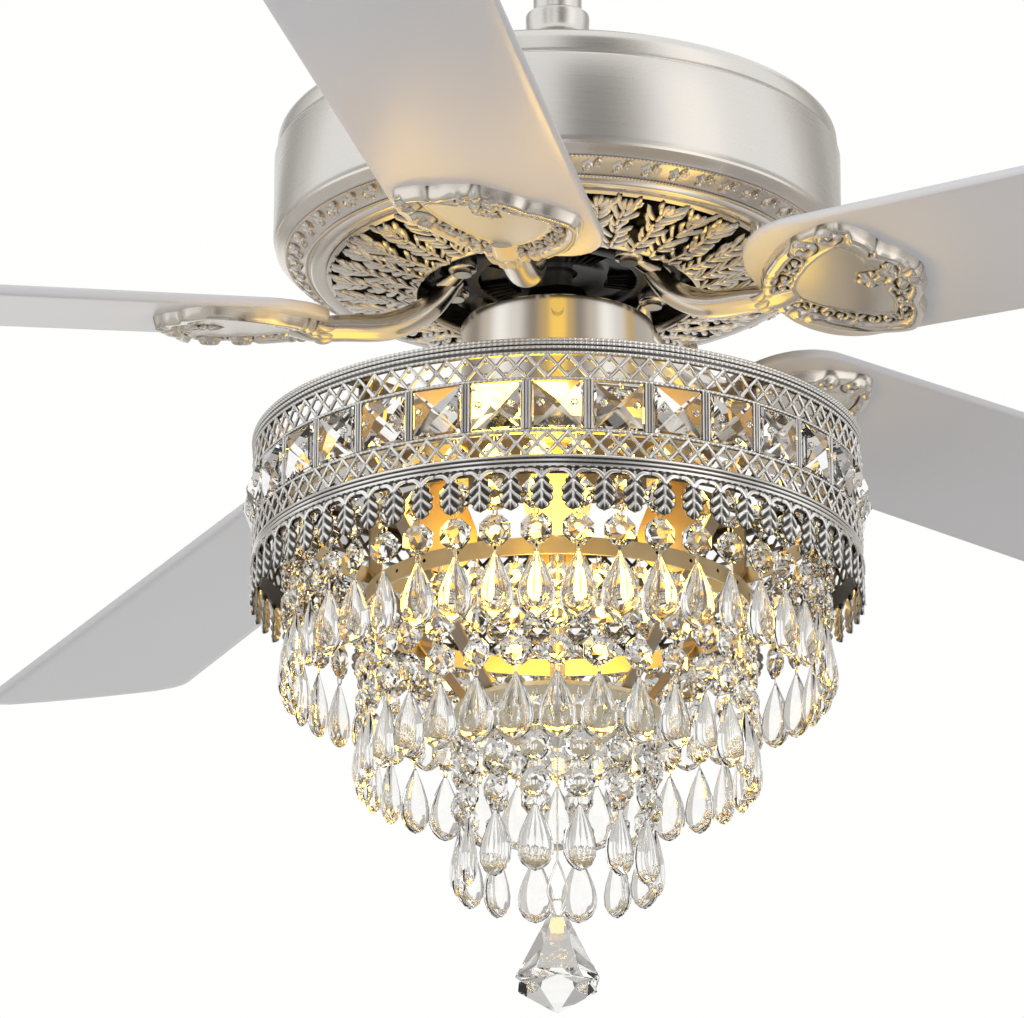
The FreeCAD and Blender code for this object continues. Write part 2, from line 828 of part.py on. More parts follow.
def iron_screw_spots():
    return [(iron_foot_radius, side * iron_foot_spread / 2) for side in (-1, 1)]


def iron_screw_holes(azimuth):
    low = hub_z - iron_foot_thickness - overrun
    high = hub_z + iron_screw_depth
    holes = [rod(iron_screw_radius + clearance, low, high, x, y) for x, y in iron_screw_spots()]
    return [hole.rotated(ORIGIN, Z_AXIS, azimuth) for hole in holes]


def blade_screw_spots():
    near = medallion_start + blade_screw_near
    far = medallion_start + blade_screw_far
    return [(near, 0), (far, -blade_screw_spread / 2), (far, blade_screw_spread / 2)]


def medallion_outline(share):
    """Closed smooth outline of the cast plate, shrunk about its middle by a share."""
    half = [(medallion_length * a, medallion_half_width * b) for a, b in medallion_shares]
    points = half + [(x, -y) for x, y in half[::-1]]
    middle = medallion_length * (0.5 + medallion_panel_shift_share)
    shrunk = [vector(medallion_start + middle + (x - middle) * share, y * share, 0) for x, y in points]
    curve = Part.BSplineCurve()
    curve.interpolate(shrunk, PeriodicFlag=True)
    return Part.Face(Part.Wire([curve.toShape()]))


def iron_arm():
    """Gooseneck arm, lofted through ellipses along its bent path."""
    start_z = hub_z - iron_foot_thickness / 2
    run = medallion_start + blade_screw_near / 2 - iron_foot_radius
    path = [vector(iron_foot_radius + run * a, 0, start_z - iron_arm_drop * b) for a, b in iron_path_shares]
    sections = []
    for k, middle in enumerate(path):
        ahead = path[min(k + 1, len(path) - 1)] - path[max(k - 1, 0)]
        normal = vector(-ahead.z, 0, ahead.x).normalize()
        width, height = iron_section_shares[k]
        side = vector(0, iron_arm_half_width * width, 0)
        rise = normal * (iron_arm_half_height * height)
        sections.append(Part.Wire([Part.Ellipse(middle + side, middle + rise, middle).toShape()]))
    return Part.makeLoft(sections, True)


def iron_foot():
    """Forked foot: two screw eyes joined by a bar to the arm."""
    low = hub_z - iron_foot_thickness
    eyes = [rod(iron_eye_radius, low, hub_z, x, y) for x, y in iron_screw_spots()]
    bar = block(iron_eye_radius, iron_foot_spread, low, hub_z, iron_foot_radius)
    return fused(bar, eyes)


def iron_blank():
    """Blade iron at azimuth zero: foot, arm and medallion with its raised border."""
    plate = medallion_outline(1).extrude(vector(0, 0, -medallion_plate_thickness))
    border = medallion_outline(1).cut(medallion_outline(medallion_panel_share))
    rim_depth = medallion_plate_thickness + medallion_rim_height
    rim = border.extrude(vector(0, 0, -rim_depth))
    medallion = on_blade(plate.fuse(rim), 0)
    body = fused(iron_foot(), [iron_arm(), medallion])
    above = block(
        medallion_length + 2 * overrun, 3 * medallion_half_width, 0, medallion_plate_thickness + overrun,
        medallion_start + medallion_length / 2,
    )
    holes = [
        on_blade(rod(blade_screw_radius + clearance, -rim_depth - overrun, overrun, x, y), 0)
        for x, y in blade_screw_spots()
    ]
    pad_length = 2 * hub_pad_outer_radius
    over_pad = block(pad_length, iron_foot_spread, hub_z, hub_z + 2 * overrun, iron_foot_radius)
    return drilled(body, [over_pad, on_blade(above, 0)] + holes + iron_screw_holes(0))


def blade_blank():
    """Flat tapered paddle with a rounded root and a slightly crowned tip, lying on its underside."""
    reach = blade_tip_radius - blade_tip_crown
    root = blade_root_width / 2
    tip = blade_tip_width / 2
    corners = [
        vector(blade_root_radius, -root, 0), vector(reach, -tip, 0), vector(reach, tip, 0),
        vector(blade_root_radius, root, 0),
    ]
    edges = [
        line(corners[0], corners[1]), arc(corners[1], vector(blade_tip_radius, 0, 0), corners[2]),
        line(corners[2], corners[3]), line(corners[3], corners[0]),
    ]
    body = Part.Face(Part.Wire(edges)).extrude(vector(0, 0, blade_thickness))
    root_reach = blade_root_radius + overrun
    roots = [e for e in upright_edges(body, blade_thickness) if e.Vertexes[0].X < root_reach]
    body = body.makeFillet(blade_root_rounding, roots)
    tips = [e for e in upright_edges(body, blade_thickness) if e.Vertexes[0].X > reach - overrun]
    body = body.makeFillet(blade_tip_rounding, tips)
    hole_high = blade_thickness + overrun
    holes = [rod(blade_screw_radius + clearance, -overrun, hole_high, x, y) for x, y in blade_screw_spots()]
    return drilled(body, holes)


def make_blade_screws():
    screws = []
    for x, y in blade_screw_spots():
        shank = rod(blade_screw_radius, -medallion_plate_thickness, blade_thickness, x, y)
        head_high = blade_thickness + blade_screw_head_height
        head = rod(blade_screw_head_radius, blade_thickness, head_high, x, y)
        screws.append(fused(shank, [head]))
    return Part.makeCompound([on_blade(screw, azimuth) for azimuth in blade_azimuths() for screw in screws])


def make_iron_screws():
    low = hub_z - iron_foot_thickness
    screws = []
    for x, y in iron_screw_spots():
        shank = rod(iron_screw_radius, low, hub_z + iron_screw_depth, x, y)
        head = rod(iron_screw_head_radius, low - iron_screw_head_height, low, x, y)
        screws.append(fused(shank, [head]))
    return Part.makeCompound([s.rotated(ORIGIN, Z_AXIS, a) for a in blade_azimuths() for s in screws])


def cup_screw_z():
    return cup_top_z - mount_ear_height / 2 - mount_plate_thickness / 2


def cup_screw_holes():
    """Level holes through the cup's wall and the mount's ears."""
    start = vector(cup_radius / 2, 0, cup_screw_z())
    hole = Part.makeCylinder(cup_screw_radius + clearance, cup_radius / 2 + overrun, start, vector(1, 0, 0))
    return around(hole, cup_screw_count, cup_screw_azimuth)


def make_cup_mount():
    """Plate on the shaft's lower end, with three ears that hold the cup."""
    low = cup_top_z - mount_plate_thickness
    edge = cup_radius - cup_wall - clearance
    bore = shaft_radius + clearance
    hub_high = cup_top_z + mount_hub_height
    body = turned([
        (bore, low), (edge, low), (edge, cup_top_z), (mount_hub_radius, cup_top_z),
        (mount_hub_radius, hub_high), (bore, hub_high),
    ])
    shell = ring(edge - mount_plate_thickness, edge, cup_top_z - mount_ear_height, low)
    wedge = block(2 * edge, mount_ear_width, cup_top_z - mount_ear_height, low, edge)
    ears = around(shell.common(wedge), cup_screw_count, cup_screw_azimuth)
    return drilled(fused(body, ears), cup_screw_holes())


def make_switch_cup():
    """Plain cylindrical cup, open at the top."""
    inner = cup_radius - cup_wall
    bore = centre_rod_radius + centre_rod_clearance
    floor_z = cup_bottom_z + cup_wall
    body = turned([
        (bore, cup_bottom_z), (cup_radius, cup_bottom_z), (cup_radius, cup_top_z),
        (inner, cup_top_z), (inner, floor_z), (bore, floor_z),
    ])
    return drilled(body, cup_screw_holes())


def make_cup_screws():
    inner = cup_radius - cup_wall - clearance - mount_plate_thickness
    base = math.sqrt(cup_radius ** 2 - cup_screw_head_radius ** 2)
    level = cup_screw_z()
    out = vector(1, 0, 0)
    shank = Part.makeCylinder(cup_screw_radius, cup_radius - inner, vector(inner, 0, level), out)
    head_length = cup_radius - base + cup_screw_head_height
    head = Part.makeCylinder(cup_screw_head_radius, head_length, vector(base, 0, level), out)
    head = head.cut(rod(cup_radius, cup_bottom_z, cup_top_z))
    return Part.makeCompound(around(fused(shank, [head]), cup_screw_count, cup_screw_azimuth))


def make_run_capacitor():
    """Block with rounded corners that lies on the cup's floor."""
    low = cup_bottom_z + cup_wall
    middle_y = capacitor_offset + capacitor_width / 2
    body = block(capacitor_length, capacitor_width, low, low + capacitor_height, 0, middle_y)
    return body.makeFillet(capacitor_rounding, upright_edges(body, capacitor_height))


def make_light_spider():
    """Flat pressed spider: hub, four spokes and the ring that carries the band."""
    low = spider_bottom_z
    hub = rod(spider_hub_radius, low, cup_bottom_z)
    rim = ring(spider_ring_inner_radius, spider_ring_outer_radius, low, cup_bottom_z)
    middle = (spider_hub_radius + spider_ring_inner_radius) / 2
    reach = spider_ring_inner_radius - spider_hub_radius + spider_spoke_width
    spoke = block(reach, spider_spoke_width, low, cup_bottom_z, middle)
    body = fused(hub, [rim] + around(spoke, spoke_count, spoke_azimuth))
    return body.cut(rod(centre_rod_radius + centre_rod_clearance, low - overrun, cup_bottom_z + overrun))


def make_band_frame():
    """Gallery band: beaded rims and rails with a window for each jewel and each lattice row."""
    inner = band_radius - band_wall
    bulge = band_radius + bottom_rim_bulge
    bulge_low = leaf_top_z + bottom_rim_height / 3
    bulge_high = bottom_rim_z - bottom_rim_height / 4
    rims = [
        ring(inner, band_radius, upper_lattice_z, spider_bottom_z),
        ring(inner, band_radius, jewel_top_z, upper_rail_z),
        ring(inner, band_radius, lower_lattice_z, jewel_bottom_z),
        turned([
            (inner, leaf_top_z), (band_radius, leaf_top_z), (bulge, bulge_low), (bulge, bulge_high),
            (band_radius, bottom_rim_z), (inner, bottom_rim_z),
        ]),
    ]
    shell = ring(inner, band_radius, bottom_rim_z, spider_bottom_z)
    post = block(4 * band_wall, jewel_divider_width, bottom_rim_z, spider_bottom_z, band_radius)
    posts = [shell.common(p) for p in around(post, jewel_count, 180 / jewel_count)]
    return fused(rims[0], rims[1:] + posts)


def panel_distance():
    return (band_radius - band_wall / 2) * math.cos(math.pi / jewel_count)


def panel_width():
    """Flat width between two neighbouring dividers."""
    pitch = 2 * (band_radius - band_wall) * math.tan(math.pi / jewel_count)
    return pitch - jewel_divider_width - 2 * panel_gap


def make_lattice(top):
    """Flat panels pierced with a row of diamonds, one panel above or below each jewel."""
    width = panel_width()
    low = top - lattice_height + panel_gap
    high = top - panel_gap
    x = panel_distance() - lattice_thickness / 2
    cell = width / lattice_cells_per_panel
    outline = [(-width / 2, low), (width / 2, low), (width / 2, high), (-width / 2, high)]
    wires = [Part.makePolygon([vector(x, y, z) for y, z in outline + outline[:1]])]
    middle_z = (low + high) / 2
    half_y = (cell - lattice_bar) / 2
    half_z = (high - low) / 2 - lattice_bar
    for k in range(lattice_cells_per_panel):
        y = -width / 2 + cell * (k + 0.5)
        diamond = [
            (y - half_y, middle_z), (y, middle_z - half_z), (y + half_y, middle_z), (y, middle_z + half_z),
        ]
        wires.append(Part.makePolygon([vector(x, a, b) for a, b in diamond + diamond[:1]]))
    face = Part.Face(wires[0])
    for wire in wires[1:]:
        face = face.cut(Part.Face(wire))
    panel = face.extrude(vector(lattice_thickness, 0, 0))
    return Part.makeCompound(around(panel, jewel_count))


def make_jewels():
    """Square pyramid-cut stones, one in each window."""
    half_y = panel_width() / 2 - jewel_clearance
    half_z = jewel_row_height / 2 - jewel_clearance
    middle = vector(panel_distance(), 0, (jewel_top_z + jewel_bottom_z) / 2)
    corners = [(-half_y, -half_z), (half_y, -half_z), (half_y, half_z), (-half_y, half_z)]
    front = [middle + vector(jewel_girdle / 2, y, z) for y, z in corners]
    back = [middle + vector(-jewel_girdle / 2, y, z) for y, z in corners]
    peak = middle + vector(jewel_front_depth, 0, 0)
    heel = middle - vector(jewel_back_depth, 0, 0)
    faces = []
    for k in range(4):
        n = (k + 1) % 4
        faces += [[front[k], front[n], peak], [back[n], back[k], heel]]
        faces.append([back[k], back[n], front[n], front[k]])
    return Part.makeCompound(around(polyhedron(faces), jewel_count))


def make_leaf_fringe():
    """Row of stamped leaves that hangs from the band's lower rim."""
    half = [(leaf_width * a, leaf_top_z - leaf_height * b) for a, b in leaf_shares]
    outline = half + [(-y, z) for y, z in half[-2::-1]]
    x = band_radius - leaf_thickness
    corners = [vector(x, y, z) for y, z in outline]
    leaf = Part.Face(Part.makePolygon(corners + corners[:1])).extrude(vector(leaf_thickness, 0, 0))
    return Part.makeCompound(around(leaf, leaf_count, 180 / leaf_count))


def tier_strip(tier):
    low = base_z - tier_drops[tier]
    half = tier_strip_thickness / 2
    return ring(tier_radii[tier] - half, tier_radii[tier] + half, low, low + tier_strip_height)


def make_tier_plate():
    """Round bottom plate that carries the lowest tier."""
    return ring(
        centre_rod_radius + centre_rod_clearance, tier_radii[2] + tier_plate_overhang, plate_z,
        plate_z + tier_plate_thickness,
    )


def make_tier_straps():
    """Bent flat straps from the spider's spokes past the two strip rings to the bottom plate."""
    outer = []
    for tier in (0, 1):
        r = math.sqrt((tier_radii[tier] - tier_strip_thickness / 2) ** 2 - (strap_width / 2) ** 2)
        top = base_z - tier_drops[tier] + tier_strip_height
        outer += [(r, spider_bottom_z if tier == 0 else top), (r, top - strap_seat)]
    outer.append((tier_radii[2], plate_z + tier_plate_thickness))
    inner = [(r - strap_thickness, z) for r, z in outer]
    points = outer + inner[::-1]
    corners = [vector(r, -strap_width / 2, z) for r, z in points]
    strap = Part.Face(Part.makePolygon(corners + corners[:1])).extrude(vector(0, strap_width, 0))
    return Part.makeCompound(around(strap, spoke_count, spoke_azimuth))


def octagon_bead(radius, top):
    """Eight-sided cut bead facing outwards, its flats at top and bottom."""
    corner = octagon_size / 2 / math.cos(math.pi / octagon_sides)
    middle = vector(radius, 0, top - octagon_size / 2)
    rim = [middle + vector(0, y, z) for y, z in polygon(corner, octagon_sides, 180 / octagon_sides)]
    front = middle + vector(octagon_thickness / 2, 0, 0)
    back = middle - vector(octagon_thickness / 2, 0, 0)
    faces = []
    for k in range(octagon_sides):
        n = (k + 1) % octagon_sides
        faces += [[rim[k], rim[n], front], [rim[n], rim[k], back]]
    return polyhedron(faces)


def crystal_drop(radius, top):
    """Faceted teardrop, its long section level with the ring."""
    rings = []
    for along, spread in drop_shares:
        z = top - drop_length * along
        section = polygon(spread / 2, drop_sides, 180 / drop_sides)
        rings.append([vector(radius + drop_thickness * a, drop_width * b, z) for a, b in section])
    return stacked(rings[::-1])


def strand_link(radius, top, bottom):
    """Wire link between two beads, as a slim three-sided pin."""
    return prism(polygon(link_size / 2, 3), bottom, top).translated(vector(radius, 0, 0))


def strand(tier):
    """Beads, drop and links of one strand at azimuth zero."""
    radius = tier_radii[tier]
    top = base_z - tier_drops[tier]
    beads = []
    links = [strand_link(radius, top, top - hook_length)]
    level = top - hook_length
    for _ in range(octagons_per_strand):
        beads.append(octagon_bead(radius, level))
        links.append(strand_link(radius, level - octagon_size, level - octagon_size - link_length))
        level -= octagon_size + link_length
    return beads, crystal_drop(radius, level), links


def make_tier(tier):
    """All beads, drops and links of one tier, its first strand at or half a pitch off the front."""
    count = tier_counts[tier]
    start = front_azimuth + tier_start_shares[tier] * 360 / count
    beads, drop, links = strand(tier)
    all_beads = [copy for bead in beads for copy in around(bead, count, start)]
    all_links = [copy for link in links for copy in around(link, count, start)]
    return all_beads, around(drop, count, start), all_links


def make_lamp_sockets():
    """Lamp holders under the spider's hub, each with a blind bore for its lamp."""
    low = spider_bottom_z - socket_length
    body = rod(socket_radius, low, spider_bottom_z, lamp_circle)
    bore = rod(socket_bore_radius, low - overrun, low + socket_bore_depth, lamp_circle)
    return Part.makeCompound(around(body.cut(bore), lamp_count, lamp_azimuth))


def make_bulbs():
    """Round lamps with a cap that stands in the holder's bore."""
    mouth = spider_bottom_z - socket_length
    cap_top = mouth + socket_bore_depth - clearance
    cap_r = socket_bore_radius - clearance
    neck_z = mouth - clearance
    centre_z = mouth - bulb_length + bulb_radius
    bend = bulb_radius * math.sqrt(0.5)
    side = [
        vector(0, 0, cap_top), vector(cap_r, 0, cap_top), vector(cap_r, 0, neck_z),
        vector(bulb_neck_radius, 0, neck_z), vector(bulb_radius, 0, centre_z),
    ]
    end = vector(0, 0, centre_z - bulb_radius)
    edges = [line(a, b) for a, b in zip(side, side[1:])]
    edges += [arc(side[-1], vector(bend, 0, centre_z - bend), end), line(end, side[0])]
    bulb = turned_edges(edges).translated(vector(lamp_circle, 0, 0))
    return Part.makeCompound(around(bulb, lamp_count, lamp_azimuth))


def make_centre_rod():
    top = cup_bottom_z + cup_wall + rod_nut_height
    return rod(centre_rod_radius, plate_z - rod_nut_height, top)


def make_nuts():
    """Shaft lock nut, the centre rod's two nuts and the hook nut at its end."""
    bore = centre_rod_radius + centre_rod_clearance
    cup_floor = cup_bottom_z + cup_wall
    lock_low = shaft_end_z()
    lock = prism(polygon(lock_nut_radius, 6), lock_low, lock_low + lock_nut_height)
    top = prism(polygon(rod_nut_radius, 6), cup_floor, cup_floor + rod_nut_height)
    low = prism(polygon(rod_nut_radius, 6), plate_z - rod_nut_height, plate_z)
    hook = turned([
        (0, rod_end_z), (end_nut_radius / 2, rod_end_z), (end_nut_radius, rod_end_z + end_nut_radius),
        (end_nut_radius, plate_z - rod_nut_height), (0, plate_z - rod_nut_height),
    ])
    reach = rod(bore, plate_z - 2 * rod_nut_height, cup_floor + 2 * rod_nut_height)
    shaft = rod(shaft_radius + clearance, lock_low - overrun, lock_low + lock_nut_height + overrun)
    return Part.makeCompound([lock.cut(shaft), top.cut(reach), low.cut(reach), hook])


def make_pendant_link():
    """Straight wire with an eye's width at its head, from the hook nut to the pendant."""
    top = rod_end_z - pendant_clearance
    bottom = base_z - pendant_link_drop
    return turned([
        (0, bottom), (pendant_link_radius, bottom), (pendant_link_radius, top - pendant_eye_radius),
        (pendant_eye_radius / 2, top - pendant_eye_radius / 2), (pendant_link_radius / 2, top), (0, top),
    ])


def make_pendant_crystal():
    """Six-sided cut pendant: a tall crown above its girdle and a shallow pavilion below."""
    levels = [
        (pendant_top_radius, base_z - pendant_link_drop),
        (pendant_girdle_radius, base_z - pendant_girdle_drop),
    ]
    tip = vector(0, 0, base_z - pendant_tip_drop)
    rings = [[vector(x, y, z) for x, y in polygon(r, pendant_sides)] for r, z in levels]
    top, girdle = rings
    faces = [top]
    for k in range(pendant_sides):
        n = (k + 1) % pendant_sides
        faces += [[girdle[k], girdle[n], top[n], top[k]], [girdle[n], girdle[k], tip]]
    return polyhedron(faces)


def build():
    nodes = {
        "hanger_bracket": make_hanger_bracket(), "canopy": make_canopy(),
        "canopy_screws": make_canopy_screws(),
        "hanger_ball": make_hanger_ball(), "ball_pin": make_ball_pin(), "downrod": make_downrod(),
        "yoke": make_yoke(), "yoke_bolt": make_yoke_bolt(), "yoke_screws": make_yoke_screws(),
        "coupling_cover": make_coupling_cover(), "motor_housing": make_motor_housing(),
        "trim_ring": make_trim_ring(), "grille": make_grille(), "thumb_screws": make_thumb_screws(),
        "motor_shaft": make_motor_shaft(), "stator_core": make_stator_core(),
        "stator_windings": make_stator_windings(), "bearings": make_bearings(),
        "rotor_top_cover": make_rotor_top_cover(), "rotor_cage": make_rotor_cage(),
        "rotor_bottom_cover": make_rotor_bottom_cover(), "blade_screws": make_blade_screws(),
        "iron_screws": make_iron_screws(), "cup_mount": make_cup_mount(), "switch_cup": make_switch_cup(),
        "cup_screws": make_cup_screws(), "run_capacitor": make_run_capacitor(),
        "light_spider": make_light_spider(), "band_frame": make_band_frame(),
        "upper_lattice": make_lattice(upper_lattice_z), "lower_lattice": make_lattice(lower_lattice_z),
        "jewels": make_jewels(), "leaf_fringe": make_leaf_fringe(), "tier_ring_1": tier_strip(0),
        "tier_ring_2": tier_strip(1), "tier_plate_3": make_tier_plate(), "tier_straps": make_tier_straps(),
        "lamp_sockets": make_lamp_sockets(), "bulbs": make_bulbs(), "centre_rod": make_centre_rod(),
        "nuts": make_nuts(), "pendant_link": make_pendant_link(), "pendant_crystal": make_pendant_crystal(),
    }
    iron = iron_blank()
    blade = blade_blank()
    for k, azimuth in enumerate(blade_azimuths()):
        nodes[f"blade_iron_{k + 1}"] = iron.rotated(ORIGIN, Z_AXIS, azimuth)
        nodes[f"blade_{k + 1}"] = on_blade(blade, azimuth)
    links = []
    for tier in range(len(tier_counts)):
        beads, drops, tier_links = make_tier(tier)
        nodes[f"octagons_tier_{tier + 1}"] = Part.makeCompound(beads)
        nodes[f"drops_tier_{tier + 1}"] = Part.makeCompound(drops)
        links += tier_links
    nodes["strand_links"] = Part.makeCompound(links)
    return nodes


os.makedirs("parts", exist_ok=True)
for name, shape in build().items():
    shape.exportStep(f"parts/{name}.step")
    print(f"{name}: {len(shape.Solids)} solids, valid {shape.isValid()}")
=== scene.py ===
"""Looks of a chandelier ceiling fan, laid out as a Blender add-on and run as a script.

Lengths inside the shape functions are millimetres in the fan's own frame (ceiling plane at zero,
+Z up). A piece is turned into metres when its mesh is made.
"""
import math

import bmesh
import bpy
import numpy as np
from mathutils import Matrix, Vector


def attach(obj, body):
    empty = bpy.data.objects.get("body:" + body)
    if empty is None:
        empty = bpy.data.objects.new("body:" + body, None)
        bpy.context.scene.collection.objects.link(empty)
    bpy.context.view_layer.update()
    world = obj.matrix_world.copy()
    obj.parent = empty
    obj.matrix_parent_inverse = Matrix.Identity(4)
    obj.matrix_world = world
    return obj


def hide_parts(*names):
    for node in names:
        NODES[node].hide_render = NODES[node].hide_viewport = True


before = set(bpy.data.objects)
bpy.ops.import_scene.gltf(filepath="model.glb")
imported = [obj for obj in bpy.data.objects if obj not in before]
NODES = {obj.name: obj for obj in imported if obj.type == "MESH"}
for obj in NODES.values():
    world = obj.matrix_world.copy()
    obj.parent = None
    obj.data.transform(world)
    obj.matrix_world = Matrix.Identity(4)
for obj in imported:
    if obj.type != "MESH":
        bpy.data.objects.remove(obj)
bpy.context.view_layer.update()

bl_info = {
    "name": "Chandelier ceiling fan",
    "version": (1, 0, 0),
    "blender": (4, 5, 0),
    "location": "3D View > Sidebar > Fan",
    "description": "Builds the dressed pieces of a ceiling fan with a crystal light kit",
    "category": "Object",
}

MM = 0.001
BASE = -250.0
BLADE_AZIMUTHS = [43.02 + 72.0 * k for k in range(5)]
BLADE_PITCH = math.radians(12.83)
BLADE_LEVEL = BASE - 46.7
TIERS = ((42, 132.0, BASE - 146.5, 0.5), (30, 95.0, BASE - 194.2, 0.0), (14, 47.5, BASE - 245.0, 0.5))


# Shape tools


def turn(points, degrees):
    """Turn points about the vertical axis."""
    a = math.radians(degrees)
    c, s = math.cos(a), math.sin(a)
    return points @ np.array([[c, s, 0], [-s, c, 0], [0, 0, 1.0]])


def quads(rows, cols, wrap_rows=False, wrap_cols=False):
    """Four-corner faces of a grid of points counted row by row."""
    r = np.arange(rows if wrap_rows else rows - 1)[:, None]
    c = np.arange(cols if wrap_cols else cols - 1)[None, :]
    r2 = (r + 1) % rows
    c2 = (c + 1) % cols
    corners = [r * cols + c, r * cols + c2, r2 * cols + c2, r2 * cols + c]
    return np.stack(np.broadcast_arrays(*corners), -1).reshape(-1, 4)


def shell(points, wrap_rows=False, wrap_cols=False, recess=1.0):
    """A grid of points (rows, columns, 3) as a part: corners, faces and a height mark per corner."""
    rows, cols = points.shape[:2]
    mark = np.broadcast_to(np.asarray(recess, float), (rows, cols)).reshape(-1)
    return points.reshape(-1, 3), quads(rows, cols, wrap_rows, wrap_cols), mark


def lathe(profile, segments=192, ripple=None, recess=1.0):
    """Closed ring: each (radius, height) of the closed profile is carried round the axis. A ripple
    (teeth, depth per profile point) adds depth times the cosine of teeth times the angle."""
    outline = np.asarray(profile, float)
    angle = np.arange(segments) * (2 * math.pi / segments)
    radius = np.repeat(outline[:, :1], segments, 1)
    if ripple is not None:
        teeth, depth = ripple
        radius = radius + np.asarray(depth, float)[:, None] * np.cos(teeth * angle)[None, :]
    height = np.repeat(outline[:, 1:], segments, 1)
    points = np.stack([radius * np.cos(angle), radius * np.sin(angle), height], -1)
    marks = np.asarray(recess, float)
    if marks.ndim == 1:
        marks = marks[:, None]
    return shell(points, True, True, marks)


def smooth_line(knots, count):
    """Curve through knots: each coordinate is a cubic whose slope at a knot is that of its neighbours."""
    knots = np.asarray(knots, float)
    n = len(knots)
    slope = np.gradient(knots, axis=0)
    place = np.linspace(0, n - 1, count)
    low = np.minimum(place.astype(int), n - 2)
    t = (place - low)[:, None]
    a, b = knots[low], knots[low + 1]
    da, db = slope[low], slope[low + 1]
    return ((2 * t ** 3 - 3 * t ** 2 + 1) * a + (t ** 3 - 2 * t ** 2 + t) * da
            + (3 * t ** 2 - 2 * t ** 3) * b + (t ** 3 - t ** 2) * db)


def sweep(path, side, widths, heights, sides=12, closed=False, recess=1.0):
    """Ellipse of the given half width and half height carried along a path. The width lies along the
    side vector, the height across it and the path. Open ends are drawn to a point."""
    path = np.asarray(path, float)
    count = len(path)
    if closed:
        ahead = np.roll(path, -1, 0) - np.roll(path, 1, 0)
    else:
        ahead = np.gradient(path, axis=0)
    ahead /= np.linalg.norm(ahead, axis=1)[:, None] + 1e-12
    side = np.broadcast_to(np.asarray(side, float), path.shape)
    side = side - (side * ahead).sum(1)[:, None] * ahead
    side /= np.linalg.norm(side, axis=1)[:, None] + 1e-12
    up = np.cross(ahead, side)
    w = np.broadcast_to(np.asarray(widths, float), (count,)).copy()
    h = np.broadcast_to(np.asarray(heights, float), (count,)).copy()
    turn_angle = np.arange(sides) * (2 * math.pi / sides)
    ring = (np.cos(turn_angle)[None, :, None] * (w[:, None, None] * side[:, None])
            + np.sin(turn_angle)[None, :, None] * (h[:, None, None] * up[:, None]))
    points = path[:, None] + ring
    if not closed:
        points = np.concatenate([np.repeat(path[:1, None], sides, 1), points,
                                 np.repeat(path[-1:, None], sides, 1)])
    return shell(points, closed, True, recess)


def copies(part, angles):
    """The part turned to each angle in degrees about the vertical axis, all in one part."""
    points, faces, mark = part
    a = np.radians(np.asarray(angles, float))
    c, s = np.cos(a), np.sin(a)
    zero, one = np.zeros_like(a), np.ones_like(a)
    spin = np.stack([np.stack([c, s, zero], -1), np.stack([-s, c, zero], -1), np.stack([zero, zero, one], -1)], 1)
    many = np.einsum("pi,kij->kpj", points, spin).reshape(-1, 3)
    shifted = (faces[None] + (np.arange(len(a)) * len(points))[:, None, None]).reshape(-1, faces.shape[1])
    return many, shifted, np.tile(mark, len(a))


def moved(part, x=0.0, y=0.0, z=0.0):
    return part[0] + np.array([x, y, z]), part[1], part[2]


def steps(count, start=0.0):
    return start + np.arange(count) * (360.0 / count)


def on_blade(points, azimuth):
    """From the blade's flat frame to its place: pitched about its length, lowered and turned."""
    c, s = math.cos(BLADE_PITCH), math.sin(BLADE_PITCH)
    x, y, z = points[:, 0], points[:, 1], points[:, 2]
    pitched = np.stack([x, y * c + z * s, z * c - y * s + BLADE_LEVEL], -1)
    return turn(pitched, azimuth)


def make_piece(name, parts, material, body, replaces=(), flat=False, crease=38.0):
    """One mesh object from several parts, merged at shared points, with faces turned outwards."""
    mesh = bpy.data.meshes.new(name)
    offset = 0
    corners, faces, marks = [], [], []
    for points, part_faces, mark in parts:
        corners.append(points)
        faces.extend((part_faces + offset).tolist())
        marks.append(mark)
        offset += len(points)
    mesh.from_pydata((np.concatenate(corners) * MM).tolist(), [], faces)
    # recess mark: painted shade in the cast finishes, in part patina, and the glow along the lamps
    layer = mesh.attributes.new("recess", "FLOAT", "POINT")
    layer.data.foreach_set("value", np.concatenate(marks).astype(np.float32))
    work = bmesh.new()
    work.from_mesh(mesh)
    bmesh.ops.remove_doubles(work, verts=work.verts, dist=1e-7)
    bmesh.ops.dissolve_degenerate(work, edges=work.edges, dist=1e-8)
    bmesh.ops.recalc_face_normals(work, faces=work.faces)
    work.to_mesh(mesh)
    work.free()
    if flat:
        mesh.shade_flat()
    else:
        mesh.shade_smooth()
        mesh.set_sharp_from_angle(angle=math.radians(crease))
    mesh.materials.append(material)
    obj = bpy.data.objects.new(name, mesh)
    bpy.context.scene.collection.objects.link(obj)
    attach(obj, body)
    if replaces:
        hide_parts(*replaces)
    return obj


# Finishes


def new_finish(name):
    """Fresh material with its node tree and its shader."""
    material = bpy.data.materials.new(name)
    material.use_nodes = True
    tree = material.node_tree
    return material, tree, tree.nodes["Principled BSDF"]


def add(tree, kind, **values):
    node = tree.nodes.new(kind)
    for key, value in values.items():
        if key in node.inputs:
            node.inputs[key].default_value = value
        else:
            setattr(node, key, value)
    return node


def grain(tree, scale, stretch, detail=4.0):
    """Noise on Object coordinates, stretched by a Mapping node."""
    where = add(tree, "ShaderNodeTexCoord")
    place = add(tree, "ShaderNodeMapping")
    place.inputs["Scale"].default_value = stretch
    tree.links.new(where.outputs["Object"], place.inputs["Vector"])
    noise = add(tree, "ShaderNodeTexNoise", Scale=scale, Detail=detail)
    tree.links.new(place.outputs["Vector"], noise.inputs["Vector"])
    return noise.outputs["Fac"]


